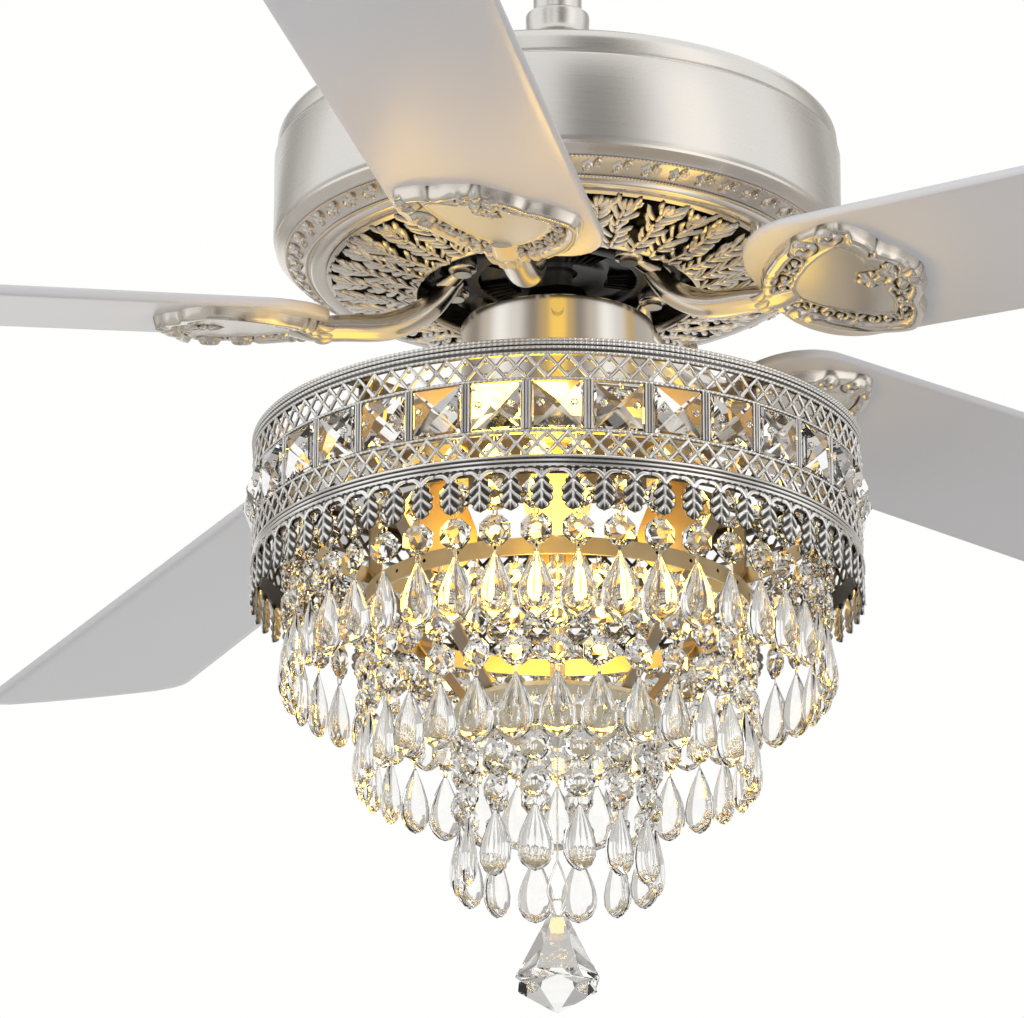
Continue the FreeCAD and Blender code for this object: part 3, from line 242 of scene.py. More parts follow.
def spread(tree, value, low, high):
    """Map a zero-to-one value on to a range."""
    node = add(tree, "ShaderNodeMapRange")
    node.inputs["To Min"].default_value = low
    node.inputs["To Max"].default_value = high
    tree.links.new(value, node.inputs["Value"])
    return node.outputs["Result"]


def blend_colours(tree, factor, dark, light):
    ramp = add(tree, "ShaderNodeValToRGB")
    ramp.color_ramp.elements[0].color = (*dark, 1)
    ramp.color_ramp.elements[1].color = (*light, 1)
    tree.links.new(factor, ramp.inputs["Fac"])
    return ramp


def add_bump(tree, shader, value, strength, distance):
    bump = add(tree, "ShaderNodeBump", Strength=strength, Distance=distance)
    tree.links.new(value, bump.inputs["Height"])
    tree.links.new(bump.outputs["Normal"], shader.inputs["Normal"])


def brushed_metal(name, colour, rough, stretch):
    """Satin plate: fine brushing that changes roughness, tone and bump along one direction."""
    material, tree, shader = new_finish(name)
    shader.inputs["Metallic"].default_value = 1.0
    lines = grain(tree, 60.0, stretch)
    tone = blend_colours(tree, lines, [c * 0.97 for c in colour], [min(1, c * 1.02) for c in colour])
    tree.links.new(tone.outputs["Color"], shader.inputs["Base Color"])
    tree.links.new(spread(tree, lines, rough - 0.03, rough + 0.05), shader.inputs["Roughness"])
    add_bump(tree, shader, lines, 0.002, 0.0002)
    return material


def cast_metal(name, dark, light, rough, low=0.12, high=0.62, dull=0.12, skin_share=0.16):
    """Cast metal toned by the recess mark: dark and dull in the recesses, bright and polished on the raised parts, with
    a fine uneven skin. The dark recesses are painted shade, in part the patina of the antique finish."""
    material, tree, shader = new_finish(name)
    shader.inputs["Metallic"].default_value = 1.0
    # recess mark: painted shade in the hollows and on hidden sides, in part the antique patina
    mark = add(tree, "ShaderNodeAttribute", attribute_name="recess")
    skin = grain(tree, 900.0, (1, 1, 1))
    mix = add(tree, "ShaderNodeMath", operation="MULTIPLY_ADD")
    mix.inputs[1].default_value = skin_share
    tree.links.new(skin, mix.inputs[0])
    tree.links.new(mark.outputs["Fac"], mix.inputs[2])
    tone = blend_colours(tree, mix.outputs["Value"], dark, light)
    tone.color_ramp.elements[0].position = low
    tone.color_ramp.elements[1].position = high
    tree.links.new(tone.outputs["Color"], shader.inputs["Base Color"])
    tree.links.new(spread(tree, mix.outputs["Value"], rough + dull, rough), shader.inputs["Roughness"])
    add_bump(tree, shader, skin, skin_share * 0.15, 0.0003)
    return material


def painted(name, dark, light, rough, scale=35.0, stretch=(1, 1, 1), metallic=0.0, coat=0.0, bump=0.03, gloss=0.5):
    """Paint or lacquer with a faint cloudy tone and a slightly uneven skin."""
    material, tree, shader = new_finish(name)
    shader.inputs["Metallic"].default_value = metallic
    shader.inputs["Coat Weight"].default_value = coat
    shader.inputs["Specular IOR Level"].default_value = gloss
    shader.inputs["Coat Roughness"].default_value = 0.2
    cloud = grain(tree, scale, stretch)
    tone = blend_colours(tree, cloud, dark, light)
    tree.links.new(tone.outputs["Color"], shader.inputs["Base Color"])
    tree.links.new(spread(tree, cloud, rough - 0.05, rough + 0.06), shader.inputs["Roughness"])
    add_bump(tree, shader, cloud, bump, 0.0004)
    return material


def crystal_glass(name, colour):
    """Clear cut crystal with the faintest ripple in its polish."""
    material, tree, shader = new_finish(name)
    shader.inputs["Base Color"].default_value = (*colour, 1)
    shader.inputs["Transmission Weight"].default_value = 1.0
    shader.inputs["IOR"].default_value = 1.55
    polish = grain(tree, 120.0, (1, 1, 1), 2.0)
    tree.links.new(spread(tree, polish, 0.0, 0.03), shader.inputs["Roughness"])
    return material


def lamp_glow(name, colour, strength):
    """Frosted lamp: brown-orange at the neck, yellow at the shoulder and near white at the globe's end, by
    the height mark. What it lights gets more than the eye sees, as the photograph holds the lamp back."""
    material, tree, shader = new_finish(name)
    mark = add(tree, "ShaderNodeAttribute", attribute_name="recess")
    deep = [colour[0] * 0.34, colour[1] * 0.24, colour[2] * 0.12]
    pale = [1.0, 0.3 + 0.7 * colour[1], 0.1 + 0.9 * colour[2]]
    tone = blend_colours(tree, mark.outputs["Fac"], deep, pale)
    tone.color_ramp.elements.new(0.5).color = (*colour, 1)
    tree.links.new(tone.outputs["Color"], shader.inputs["Base Color"])
    tree.links.new(tone.outputs["Color"], shader.inputs["Emission Color"])
    seen = add(tree, "ShaderNodeLightPath")
    lift = spread(tree, seen.outputs["Is Camera Ray"], 2.4, 1.0)
    power = add(tree, "ShaderNodeMath", operation="MULTIPLY")
    tree.links.new(spread(tree, mark.outputs["Fac"], strength * 0.3, strength), power.inputs[0])
    tree.links.new(lift, power.inputs[1])
    tree.links.new(power.outputs["Value"], shader.inputs["Emission Strength"])
    shader.inputs["Roughness"].default_value = 0.5
    return material


FINISHES = {}


def finish(name):
    """The named finish, made once from the colours in the panel."""
    if name in FINISHES:
        return FINISHES[name]
    look = bpy.context.scene.fan_looks
    around_axis = (0.004, 0.004, 12.0)
    along_axis = (3.0, 3.0, 0.2)
    if name == "nickel":
        made = brushed_metal("satin_nickel", look.nickel, 0.27, around_axis)
    elif name == "lit_cup_nickel":
        # painted light: a lighter copy of the housing's nickel for the cup
        made = brushed_metal("lit_cup_nickel", [min(1, c * 1.12) for c in look.nickel], 0.2, around_axis)
    elif name == "silver":
        made = cast_metal("silver_patina_and_shade", look.silver_recess, look.silver, 0.22)
    elif name == "champagne":
        made = cast_metal("champagne_casting", look.champagne_recess, look.champagne, 0.24, 0.2, 0.76)
    elif name == "iron":
        made = cast_metal("iron_casting", look.champagne_recess, look.iron, 0.15, 0.1, 0.62, 0.5, 0.05)
    elif name == "strip":
        made = brushed_metal("ring_strip", look.strip, 0.34, (1, 1, 1))
    elif name == "frame":
        made = brushed_metal("frame_dark", (0.2, 0.17, 0.14), 0.42, (1, 1, 1))
    elif name == "bronze":
        made = brushed_metal("frame_bronze", (0.42, 0.34, 0.25), 0.4, (1, 1, 1))
    elif name == "wire":
        made = brushed_metal("crystal_wire", look.silver, 0.18, (1, 1, 1))
    elif name == "black":
        made = painted("hub_black", (0.003, 0.003, 0.004), (0.007, 0.007, 0.008), 0.16, gloss=0.15)
    elif name == "blade":
        made = painted("blade_lacquer", [c * 0.96 for c in look.blade], look.blade, 0.32, 9.0, (1, 1, 1), 0.1, 0.35, 0.02)
    elif name == "crystal":
        made = crystal_glass("cut_crystal", look.crystal)
    elif name == "lamp":
        made = lamp_glow("warm_lamp", look.lamp, look.lamp_strength)
    elif name == "copper":
        made = painted("enamelled_copper", (0.3, 0.12, 0.05), (0.42, 0.18, 0.08), 0.35, 200.0, (1, 1, 8), 0.8)
    elif name == "steel":
        made = brushed_metal("plain_steel", (0.5, 0.5, 0.5), 0.33, (1, 1, 1))
    elif name == "black_plastic":
        made = painted("black_moulding", (0.012, 0.012, 0.012), (0.02, 0.02, 0.02), 0.5, 400.0)
    else:
        made = painted("lamp_holder", (0.6, 0.57, 0.5), (0.66, 0.63, 0.56), 0.45, 200.0)
    FINISHES[name] = made
    return made


# Pieces above the blades


def build_motor():
    """Housing, downrod, coupling bell and canopy as lathe rings. The housing's wall is straight with a
    groove near its top and a rounded rim; the bells are cubic curves through a few radii."""
    top = BASE + 60.0
    bend = np.linspace(0, math.pi / 2, 9)
    rim = [(134.0 + 6.5 * math.sin(math.pi / 2 - b), top - 6.5 + 6.5 * math.sin(b)) for b in bend]
    outer = [(140.8, BASE), (141.6, BASE + 1.2), (142.0, BASE + 2.6), (142.0, BASE + 44.6), (141.6, BASE + 45.6),
             (140.4, BASE + 46.0), (139.4, BASE + 46.4), (139.4, BASE + 47.2), (140.2, BASE + 47.6), (140.5, BASE + 48.4)]
    ledge = [(128.0, top), (127.2, top - 0.5), (126.4, top)]
    inner = [(8.0, top), (8.0, top - 2.0), (130.0, top - 2.0), (137.2, top - 7.0), (137.2, BASE + 45.0), (140.0, BASE + 43.0),
             (140.0, BASE)]
    housing = lathe(outer + rim + ledge + inner, 320)
    make_piece("motor_housing_shell", [housing], finish("nickel"), "fan_body", ["motor_housing"], crease=50)
    low, high = top, top + 66.0
    bell = smooth_line([(54.0, low), (52.6, low + 6.0), (46.5, low + 24.0), (34.0, low + 40.0), (21.5, low + 49.0),
                        (16.4, low + 54.0), (16.2, high - 1.5), (15.2, high)], 40)
    bell_inner = (bell - np.array([1.4, 0.0]))[::-1]
    rod = [(12.3, -176.0), (12.3, -24.5), (11.8, -24.0), (10.2, -24.0), (10.1, -176.0)]
    parts = [lathe(np.concatenate([bell, bell_inner]), 128), lathe(rod, 96)]
    make_piece("downrod_and_bell", parts, finish("nickel"), "fan_body", ["downrod", "coupling_cover"])
    skirt = smooth_line([(31.0, -62.5), (40.0, -61.0), (52.0, -54.0), (61.0, -43.0), (66.0, -30.0), (67.0, -20.0), (67.0, -10.0),
                         (67.0, -0.5)], 48)
    skirt_inner = np.stack([np.maximum(skirt[:, 0] - 1.4, 29.8), np.minimum(skirt[:, 1] + 1.2, -0.5)], -1)[::-1]
    make_piece("canopy_bell", [lathe(np.concatenate([skirt, skirt_inner]), 160)], finish("nickel"), "ceiling_mount",
               ["canopy"])


def flower(radius, petals, height, faces=18):
    """Small rosette: a disc whose radius swells by the cosine of petals times the angle, domed in rows."""
    ring = np.arange(faces) * (2 * math.pi / faces)
    rows = np.array([0.0, 0.28, 0.42, 0.72, 1.0])
    dome = np.array([1.0, 0.9, 0.5, 0.75, 0.0]) * height
    swell = 1 + 0.22 * np.cos(petals * ring)[None, :] * rows[:, None]
    r = rows[:, None] * radius * swell
    points = np.stack([r * np.cos(ring), r * np.sin(ring), np.repeat(-dome[:, None], faces, 1)], -1)
    # the dip round the centre and the outer edge are marked darker: painted shade
    mark = np.repeat(np.array([1.0, 0.95, 0.5, 1.0, 0.45])[:, None], faces, 1)
    return shell(points, False, True, mark)


def scroll(turns, size, thick, count=26, sides=6):
    """Volute: a tapering round bar along a spiral whose radius shrinks evenly with its angle."""
    t = np.linspace(0, 1, count)
    a = t * turns * 2 * math.pi
    r = size * (1 - 0.86 * t)
    path = np.stack([r * np.cos(a), r * np.sin(a), np.zeros(count)], -1)
    width = thick * (1 - 0.45 * t)
    return sweep(path, (0, 0, 1), width * 0.8, width, sides)


def tilted(part, x_slope, place):
    """Lay a flat part on a cone: its height follows the slope along x, then it is moved."""
    points = part[0].copy()
    points[:, 2] += points[:, 0] * x_slope
    return points + np.asarray(place), part[1], part[2]


def build_trim():
    """Dished border under the housing with a wreath of small flowers and scrolls."""
    z = BASE
    outer = [(140.9, z), (141.0, z - 1.5), (139.2, z - 3.2), (136.6, z - 4.5), (135.8, z - 5.6), (134.6, z - 5.9), (126.0, z - 11.2),
             (124.8, z - 12.4), (123.6, z - 12.6), (123.0, z - 14.2), (121.8, z - 15.0), (116.6, z - 15.0), (115.5, z - 14.4)]
    inner = [(115.5, z - 13.4), (122.5, z - 13.4), (124.0, z - 10.9), (136.6, z - 2.9), (137.8, z), (137.8, z + 8), (139.8, z + 8),
             (139.8, z)]
    # the grooves and the hidden inner side of the border are marked dark: painted shade
    mark = [1, 1, 1, 0.8, 0.4, 0.85, 0.85, 0.4, 0.9, 0.8, 1, 1, 0.8] + [0.2] * len(inner)
    parts = [lathe(outer + inner, 288, recess=mark)]
    slope = (11.2 - 5.9) / (134.6 - 126.0)
    spot = (130.2, 0, z - 8.6)
    bloom = tilted(flower(3.0, 5, 2.0), slope, spot)
    parts.append(copies(bloom, steps(56)))
    for side in (-1, 1):
        curl = scroll(1.25, 2.1, 0.85, 14, 5)
        curl = (curl[0] * np.array([1, side, 1.0]), curl[1], curl[2])
        parts.append(copies(tilted(curl, slope, (130.3 + 1.7 * side, side * 4.6, z - 8.6 - 0.4)), steps(56)))
    for r, level, size in ((135.2, z - 5.9, 0.85), (125.3, z - 12.1, 0.75)):
        bead = flower(size, 0, size, 6)
        parts.append(copies(moved(bead, r, 0, level), steps(int(2 * math.pi * r / (2.3 * size)))))
    make_piece("trim_border", parts, finish("champagne"), "fan_body", ["trim_ring"])


def lobes(where, angle, length, width, height, bow):
    """Leaf fingers on the grille's cone. Each is a bent finger with a fuller tip: its half width is the
    square root of one less the fourth power of the place along it, its crest stands up, and its middle
    line bows sideways with the square of the length."""
    u = np.linspace(0, 1, 8)[None, :, None]
    v = (np.arange(6) * (2 * math.pi / 6))[None, None, :]
    body = np.sqrt(np.clip(1 - (2 * u - 1) ** 4, 0, 1)) * (0.7 + 0.45 * u)
    along = length[:, None, None] * u + 0 * v
    across = width[:, None, None] * body * np.cos(v) + bow[:, None, None] * u ** 2
    up = height[:, None, None] * body * np.sin(v)
    c, s = np.cos(angle)[:, None, None], np.sin(angle)[:, None, None]
    r = np.clip(where[:, 0][:, None, None] + along * c - across * s, 70.4, 114.9)
    t = where[:, 1][:, None, None] + along * s + across * c
    phi = t / np.maximum(r, 1.0) + where[:, 2][:, None, None]
    z = BASE - 16.0 - (115.3 - r) * 0.2298 - up
    points = np.stack([r * np.cos(phi), r * np.sin(phi), z], -1)
    n = points.shape[0]
    faces = quads(8, 6, False, True)
    many = (faces[None] + (np.arange(n) * 48)[:, None, None]).reshape(-1, 4)
    # painted shade: the lower crest of each finger is marked bright, its flanks darker and its upper side darkest
    mark = np.broadcast_to(0.36 + 0.5 * np.clip(np.sin(v), -0.8, 1) + 0 * u, r.shape)
    return points.reshape(-1, 3), many, mark.reshape(-1)


def build_grille():
    """Pierced plate of fern fronds: each frond is a stem with pairs of bent fingers and a fan at its tip,
    repeated round the cone between the inner rim and the flange with a small seeded change."""
    z = BASE
    chance = np.random.default_rng(11)
    rim = [(69.6, z - 25.2), (70.2, z - 26.2), (71.6, z - 26.4), (72.8, z - 25.4), (72.8, z - 23.4), (71.2, z - 22.6), (69.6, z - 22.9)]
    flange = [(112.9, z - 16.2), (115.3, z - 15.4), (115.3, z - 13.4), (122.2, z - 13.4), (122.2, z - 11.8), (114.0, z - 11.8)]
    parts = [lathe(rim, 192, recess=0.9), lathe(flange, 192, recess=0.7)]
    fronds = bpy.context.scene.fan_sizes.frond_count
    pairs = np.linspace(71.0, 102.0, 8)
    share = np.repeat((pairs - 71.0) / 31.0, 2)
    hand = np.tile([-1.0, 1.0], 8)
    foot = np.concatenate([np.repeat(pairs, 2), np.full(5, 103.5), np.linspace(70.6, 96.0, 5)])
    angle = np.concatenate([hand * np.radians(60 - 18 * share), np.radians([0, 26, -26, 52, -52]), np.zeros(5)])
    length = np.concatenate([9.0 + 5.6 * share, [9.5, 9.4, 9.4, 9.0, 9.0], np.full(5, 8.5)])
    width = np.concatenate([1.25 + 0.4 * share, np.full(5, 1.5), np.full(5, 1.1)])
    bow = np.concatenate([-hand * (1.6 + 1.2 * share), [0, -1.2, 1.2, -2.0, 2.0], np.zeros(5)])
    n = fronds * len(foot)
    phi = np.repeat(np.arange(fronds) * (2 * math.pi / fronds), len(foot))
    bend = np.repeat(chance.uniform(-0.1, 0.1, fronds), len(foot)) * (np.tile(foot, fronds) - 71.0)
    wave = 1.3 * np.sin((np.tile(foot, fronds) - 71.0) / 6.0 + np.repeat(chance.uniform(0, 6.28, fronds), len(foot)))
    where = np.stack([np.tile(foot, fronds) + chance.uniform(-1.2, 1.2, n), bend + wave + chance.uniform(-0.7, 0.7, n), phi], -1)
    turned = np.tile(angle, fronds) + chance.uniform(-0.2, 0.2, n)
    high = np.tile(width, fronds) * chance.uniform(0.7, 1.3, n)
    parts.append(lobes(where, turned, np.tile(length, fronds) * chance.uniform(0.8, 1.15, n), np.tile(width, fronds), high, np.tile(bow, fronds)))
    make_piece("grille_fronds", parts, finish("champagne"), "fan_body", ["grille"])
    knurl = lathe([(0.01, 0), (3.0, 0), (3.4, -0.8), (3.4, -6.0), (3.0, -7.0), (0.01, -7.0)], 48, (12, [0, 0.15, 0.25, 0.25, 0.15, 0]))
    tail = lathe([(0.01, 0), (1.6, 0), (1.6, 7.2), (0.01, 7.2)], 16)
    screw = [copies(moved(p, 119.3, 0, z - 15.0), steps(4, -35.0)) for p in (knurl, tail)]
    make_piece("knurled_screws", screw, finish("nickel"), "fan_body", ["thumb_screws"])


# Rotor


def build_hub():
    """Black finned hub: a dished lathe ring, raised wedge fins and a polished boss below it."""
    z = BASE
    ring = [(10.0, z - 14.0), (22.0, z - 14.2), (24.0, z - 15.5), (38.0, z - 15.5), (39.5, z - 17.6), (41.0, z - 18.0), (60.0, z - 18.0),
            (62.0, z - 17.0), (83.0, z - 2.8), (84.0, z - 1.5), (84.0, z + 2.0), (80.0, z + 2.0), (80.0, z), (58.0, z - 11.0),
            (22.0, z - 11.0), (22.0, z), (17.5, z), (17.5, z - 11.0), (10.0, z - 11.0)]
    parts = [lathe(ring, 160)]
    spots = np.linspace(25.0, 60.0, 9)
    fin = sweep(np.stack([spots, 0 * spots, 0 * spots + z - 15.6], -1), (0, 1, 0), np.linspace(0.8, 1.9, 9), 2.3, 8)
    angles = np.concatenate([np.asarray(BLADE_AZIMUTHS) + 36 + shift for shift in (-13, -6.5, 0, 6.5, 13)])
    parts.append(copies(fin, angles))
    make_piece("finned_hub", parts, finish("black"), "rotor", ["rotor_bottom_cover"])
    boss = [(7.7, z - 25.0), (14.0, z - 25.0), (15.0, z - 25.8), (15.0, z - 35.5), (19.0, z - 36.5), (20.5, z - 38.0), (20.5, z - 40.0),
            (18.5, z - 41.0), (18.5, z - 43.0), (46.5, z - 43.0), (46.5, z - 45.5), (7.7, z - 45.5)]
    make_piece("shaft_boss", [lathe(boss, 96)], finish("black"), "fan_body", ["cup_mount"])


def medallion(azimuth):
    """Cast plate as a height field on a polar grid, with e the distance in from its outline. A half-round
    roll follows the edge. Inside it runs a sunk strip with a garland: spiral curls, whose height is the
    cosine of the angle round their middle plus the distance from it, and five-petal flowers. One side of
    the outer half has two ring scrolls and two rails instead. The tip has a fan of petals, with a flower
    inside it, the neck has short ridges, and the middle is a plain panel. Grooves are marked dark."""
    shares = np.array([(0.0, 0.12), (0.07, 0.36), (0.2, 0.62), (0.4, 0.86), (0.6, 0.98), (0.74, 0.99), (0.83, 0.78), (0.88, 0.52),
                       (0.95, 0.33), (1.0, 0.12)])
    x0, length, half = 117.0, 83.5, 47.0
    middle = x0 + 0.53 * length
    plan = np.concatenate([shares, shares[::-1] * np.array([1, -1])]) * np.array([length, half]) + np.array([x0 - middle, 0])
    angle = np.arctan2(plan[:, 1], plan[:, 0])
    order = np.argsort(angle)
    spokes, rows = 360, 64
    theta = np.linspace(-math.pi, math.pi, spokes, endpoint=False)
    reach = np.interp(theta, angle[order], np.hypot(plan[:, 0], plan[:, 1])[order], period=2 * math.pi)
    kernel = np.exp(-(np.arange(-9, 10) / 4.0) ** 2)
    reach = np.convolve(np.concatenate([reach[-9:], reach, reach[:9]]), kernel / kernel.sum(), "valid")
    reach = reach * (1 + 0.012 * np.cos(14 * theta) * np.cos(theta / 2) ** 4)
    rho = (np.linspace(0, 1, rows) ** 0.8)[:, None]
    x = rho * reach * np.cos(theta)
    y = rho * reach * np.sin(theta)
    e = (1 - rho) * reach

    def around(a, inset):
        near = np.interp(a, theta, reach, period=2 * math.pi) - inset
        dx, dy = x - near * math.cos(a), y - near * math.sin(a)
        return np.hypot(dx, dy), np.arctan2(dy, dx)

    bold = np.clip((theta + 1.98) / 0.14, 0, 1) * np.clip((-0.34 - theta) / 0.14, 0, 1)
    roll = np.sqrt(np.sin(math.pi * np.clip(e / 8.0, 0, 1)).clip(0, 1))
    strip = np.clip((e - 7.6) / 0.9, 0, 1) * np.clip((15.8 - e) / 0.9, 0, 1) * (1 - bold)
    height = 3.3 - 0.9 * strip + (2.9 - 1.9 * bold) * roll + 0.7 * np.exp(-((e - 16.6) / 0.7) ** 2)
    # recess mark: the sunk strip, grooves, seams and gaps between ridges dark and the raised roll bright, painted shade
    mark = (0.64 + 0.36 * roll) * (1 - strip) + 0.1 * strip + 0.3 * np.exp(-((e - 16.6) / 0.7) ** 2)
    ring = reach - 11.7
    along = np.concatenate([[0], np.cumsum(np.hypot(np.diff(ring * np.cos(theta)), np.diff(ring * np.sin(theta))))])
    motifs = 26
    for k, spot in enumerate(np.interp(np.linspace(0, along[-1], motifs, endpoint=False), along, theta)):
        d, w = around(spot, 11.7)
        inside = np.exp(-(d / 3.9) ** 6) * (1 - bold)
        if k % 3:
            crest = np.cos((-1) ** k * w + d * 1.75)
        else:
            crest = np.cos(5 * w) * np.clip(d / 1.5, 0, 1) + 1.2 * np.exp(-(d / 1.1) ** 2) - 0.2
        height = height + inside * (1.4 + 1.2 * crest)
        mark = mark + inside * (0.35 + 0.6 * crest)
    for a in (-1.74, -1.34):
        d, _ = around(a, 7.4)
        inside = np.clip((6.9 - d) / 0.8, 0, 1)
        height = height + inside * (2.9 * np.exp(-((d - 4.3) / 1.5) ** 2) + 2.2 * np.exp(-(d / 1.7) ** 2) - 0.6)
        mark = mark - 0.6 * np.exp(-((d - 6.8) / 0.6) ** 2) - 0.6 * np.exp(-((d - 2.3) / 0.6) ** 2)
    rails = np.clip((theta + 1.12) / 0.05, 0, 1) * bold
    height = height + rails * (2.6 * np.exp(-((e - 3.8) / 2.7) ** 4) + 1.9 * np.exp(-((e - 10.4) / 1.6) ** 2))
    seam = 0.6 * np.exp(-((theta + 0.74) / 0.025) ** 2) * np.clip((13.0 - e) / 1.5, 0, 1)
    height = height - 2.0 * rails * seam
    mark = mark - rails * (0.75 * np.exp(-((e - 7.6) / 0.7) ** 2) + seam)
    tip_x = np.interp(0.0, theta, reach)
    for inset, size, petals, tall in ((12.0, 12.0, 7, 3.0), (27.0, 7.5, 6, 2.4)):
        d, w = np.hypot(x - tip_x + inset, y), np.arctan2(y, x - tip_x + inset)
        petal = np.cos(petals * w / 2) ** 2
        inside = np.exp(-(d / (size * (0.8 + 0.2 * petal))) ** 8)
        height = height * (1 - 0.5 * inside) + inside * (1.0 + tall * (petal ** 0.5) * np.clip(d / 3.0, 0.2, 1) + 1.6 * np.exp(-(d / 1.8) ** 2))
        mark = mark * (1 - inside) + inside * (0.15 + 0.85 * petal ** 0.5) - 0.5 * np.exp(-((d - size * (0.84 + 0.2 * petal)) / 0.7) ** 2)
    neck = np.clip((np.abs(theta) - 2.45) / 0.2, 0, 1) * np.clip((9.0 - e) / 1.5, 0, 1)
    ridge = np.cos(30 * theta)
    height = height + 0.8 * neck * ridge
    mark = mark - 0.6 * neck * np.clip(-ridge, 0, 1)
    height = np.clip(height, 0.4, 6.9) * np.clip(e / 1.6, 0, 1) ** 0.5
    points = np.stack([x + middle, y, -height], -1).reshape(-1, 3)
    back = np.stack([x + middle, y, -0.02 * np.ones_like(x)], -1)[::rows - 1].reshape(-1, 3)
    top = on_blade(points, azimuth), quads(rows, spokes, False, True), np.clip(mark, 0, 1).reshape(-1)
    base = on_blade(back, azimuth), quads(2, spokes, False, True), np.zeros(len(back))
    return top, base


def iron_arm(azimuth):
    """Gooseneck: an ellipse carried along a bent line from the hub to the plate, with a leaf collar, and
    a forked foot of two screw eyes."""
    start = BASE - 19.5
    line = smooth_line([(49.5, 0, start - 0.5), (55, 0, start - 5.0), (66.2, 0, start - 17.4), (84.6, 0, start - 26.6), (108, 0, start - 28.6),
                        (122, 0, start - 30.0), (134, 0, start - 30.4)], 48)
    s = np.linspace(0, 1, 48)
    width = np.interp(s, [0, 0.2, 0.45, 0.7, 0.85, 1], [5.4, 6.2, 7.4, 7.8, 8.4, 6.5])
    tall = np.interp(s, [0, 0.2, 0.45, 0.7, 0.85, 1], [3.6, 6.0, 7.0, 6.6, 5.4, 2.4])
    parts = [sweep(line, (0, 1, 0), width, tall, 24, recess=0.85)]
    for y in (-7.5, -3.8, 0.0, 3.8, 7.5):
        t = np.linspace(0, 1, 14)
        x = 110.0 + 13.0 * t
        lift = -52.4 - 2.2 * np.sin(math.pi * t) + 0.055 * y * y
        leaf = np.stack([x, y * (0.8 + 0.75 * t ** 2), BASE + lift], -1)
        body = np.sin(math.pi * np.clip(t, 0.02, 0.98)) ** 0.6
        parts.append(sweep(leaf, (0, 1, 0), 2.5 * body + 0.1, 1.7 * body + 0.1, 8, recess=0.55))
    top = BASE - 18.0
    for side in (-1, 1):
        eye = lathe([(3.0, top - 3.6), (6.8, top - 3.6), (7.2, top - 2.6), (7.2, top), (2.4, top), (2.4, top - 3.0)], 32, recess=0.8)
        parts.append(moved(eye, 49.5, side * 17.0))
        prong = smooth_line([(58, side * 1.5, top - 6.5), (52.5, side * 7.0, top - 3.6), (49.8, side * 12.0, top - 2.2)], 12)
        parts.append(sweep(prong, (1, 0, 0), np.linspace(5.0, 3.6, 12), np.linspace(3.6, 2.0, 12), 12, recess=0.8))
    return [(turn(p, azimuth), f, m) for p, f, m in parts]


def build_irons():
    """Five cast irons, each with its arm, foot and medallion."""
    for k, azimuth in enumerate(BLADE_AZIMUTHS):
        parts = iron_arm(azimuth) + list(medallion(azimuth))
        make_piece(f"cast_iron_{k + 1}", parts, finish("iron"), "rotor", [f"blade_iron_{k + 1}"], crease=70)


def blade_outline(count):
    """Closed plan of a paddle: straight tapering sides, round root corners and a slightly crowned tip,
    taken as evenly spaced points with their outward normals."""
    def corner(cx, cy, radius, a0, a1, n):
        a = np.radians(np.linspace(a0, a1, n))
        return np.stack([cx + radius * np.cos(a), cy + radius * np.sin(a)], -1)
    root, tip = 51.1, 63.3
    lower = [corner(115.0 + 38, -(root - 37.2), 38, 180, 268.7, 30), corner(656.2 - 13.5, -(tip - 13.4), 13.2, 271.3, 355, 24)]
    crown_y = np.linspace(-48, 48, 9)
    crown = np.stack([660.0 - 4.0 * (crown_y / 63.3) ** 2, crown_y], -1)
    half = np.concatenate(lower)
    path = np.concatenate([half, crown, (half * np.array([1, -1]))[::-1]])
    path = np.concatenate([path, path[:1]])
    length = np.concatenate([[0], np.cumsum(np.linalg.norm(np.diff(path, axis=0), axis=1))])
    at = np.linspace(0, length[-1], count, endpoint=False)
    points = np.stack([np.interp(at, length, path[:, 0]), np.interp(at, length, path[:, 1])], -1)
    ahead = np.roll(points, -1, 0) - np.roll(points, 1, 0)
    normal = np.stack([ahead[:, 1], -ahead[:, 0]], -1)
    return points, normal / np.linalg.norm(normal, axis=1)[:, None]


def build_blades():
    """Five paddles: the plan is inset along its normals while the height climbs a rounded edge, then both
    faces close in on the plan's middle line."""
    points, normal = blade_outline(420)
    middle = np.stack([np.clip(points[:, 0], 160, 610), 0 * points[:, 1]], -1)
    edge = np.linspace(-math.pi / 2, math.pi / 2, 9)
    rows = []
    for a in edge:
        inset = 1.5 * (1 - math.cos(a))
        z = 2.6 + 2.6 * math.sin(a)
        rows.append(np.column_stack([points - normal * inset, np.full(len(points), z)]))
    under = np.column_stack([middle, np.zeros(len(points))])
    over = np.column_stack([middle, np.full(len(points), 5.2)])
    inner_low = np.column_stack([points - normal * 6, np.zeros(len(points))])
    inner_high = np.column_stack([points - normal * 6, np.full(len(points), 5.2)])
    grid = np.stack([under, inner_low] + rows + [inner_high, over])
    for k, azimuth in enumerate(BLADE_AZIMUTHS):
        flat = shell(grid, False, True)
        part = on_blade(flat[0], azimuth), flat[1], flat[2]
        make_piece(f"paddle_{k + 1}", [part], finish("blade"), "rotor", [f"blade_{k + 1}"], crease=60)


# Light kit


def build_cup():
    """Plain switch cup with a small rolled edge."""
    top, low = BASE - 43.0, BASE - 105.0
    wall = [(4.2, low), (46.8, low), (47.8, low + 0.6), (48.0, low + 1.6), (48.0, top - 1.0), (47.6, top - 0.2), (47.0, top),
            (46.7, top - 0.4), (46.7, low + 1.3), (4.2, low + 1.3)]
    make_piece("cup_shell", [lathe(wall, 192)], finish("lit_cup_nickel"), "fan_body", ["switch_cup"])


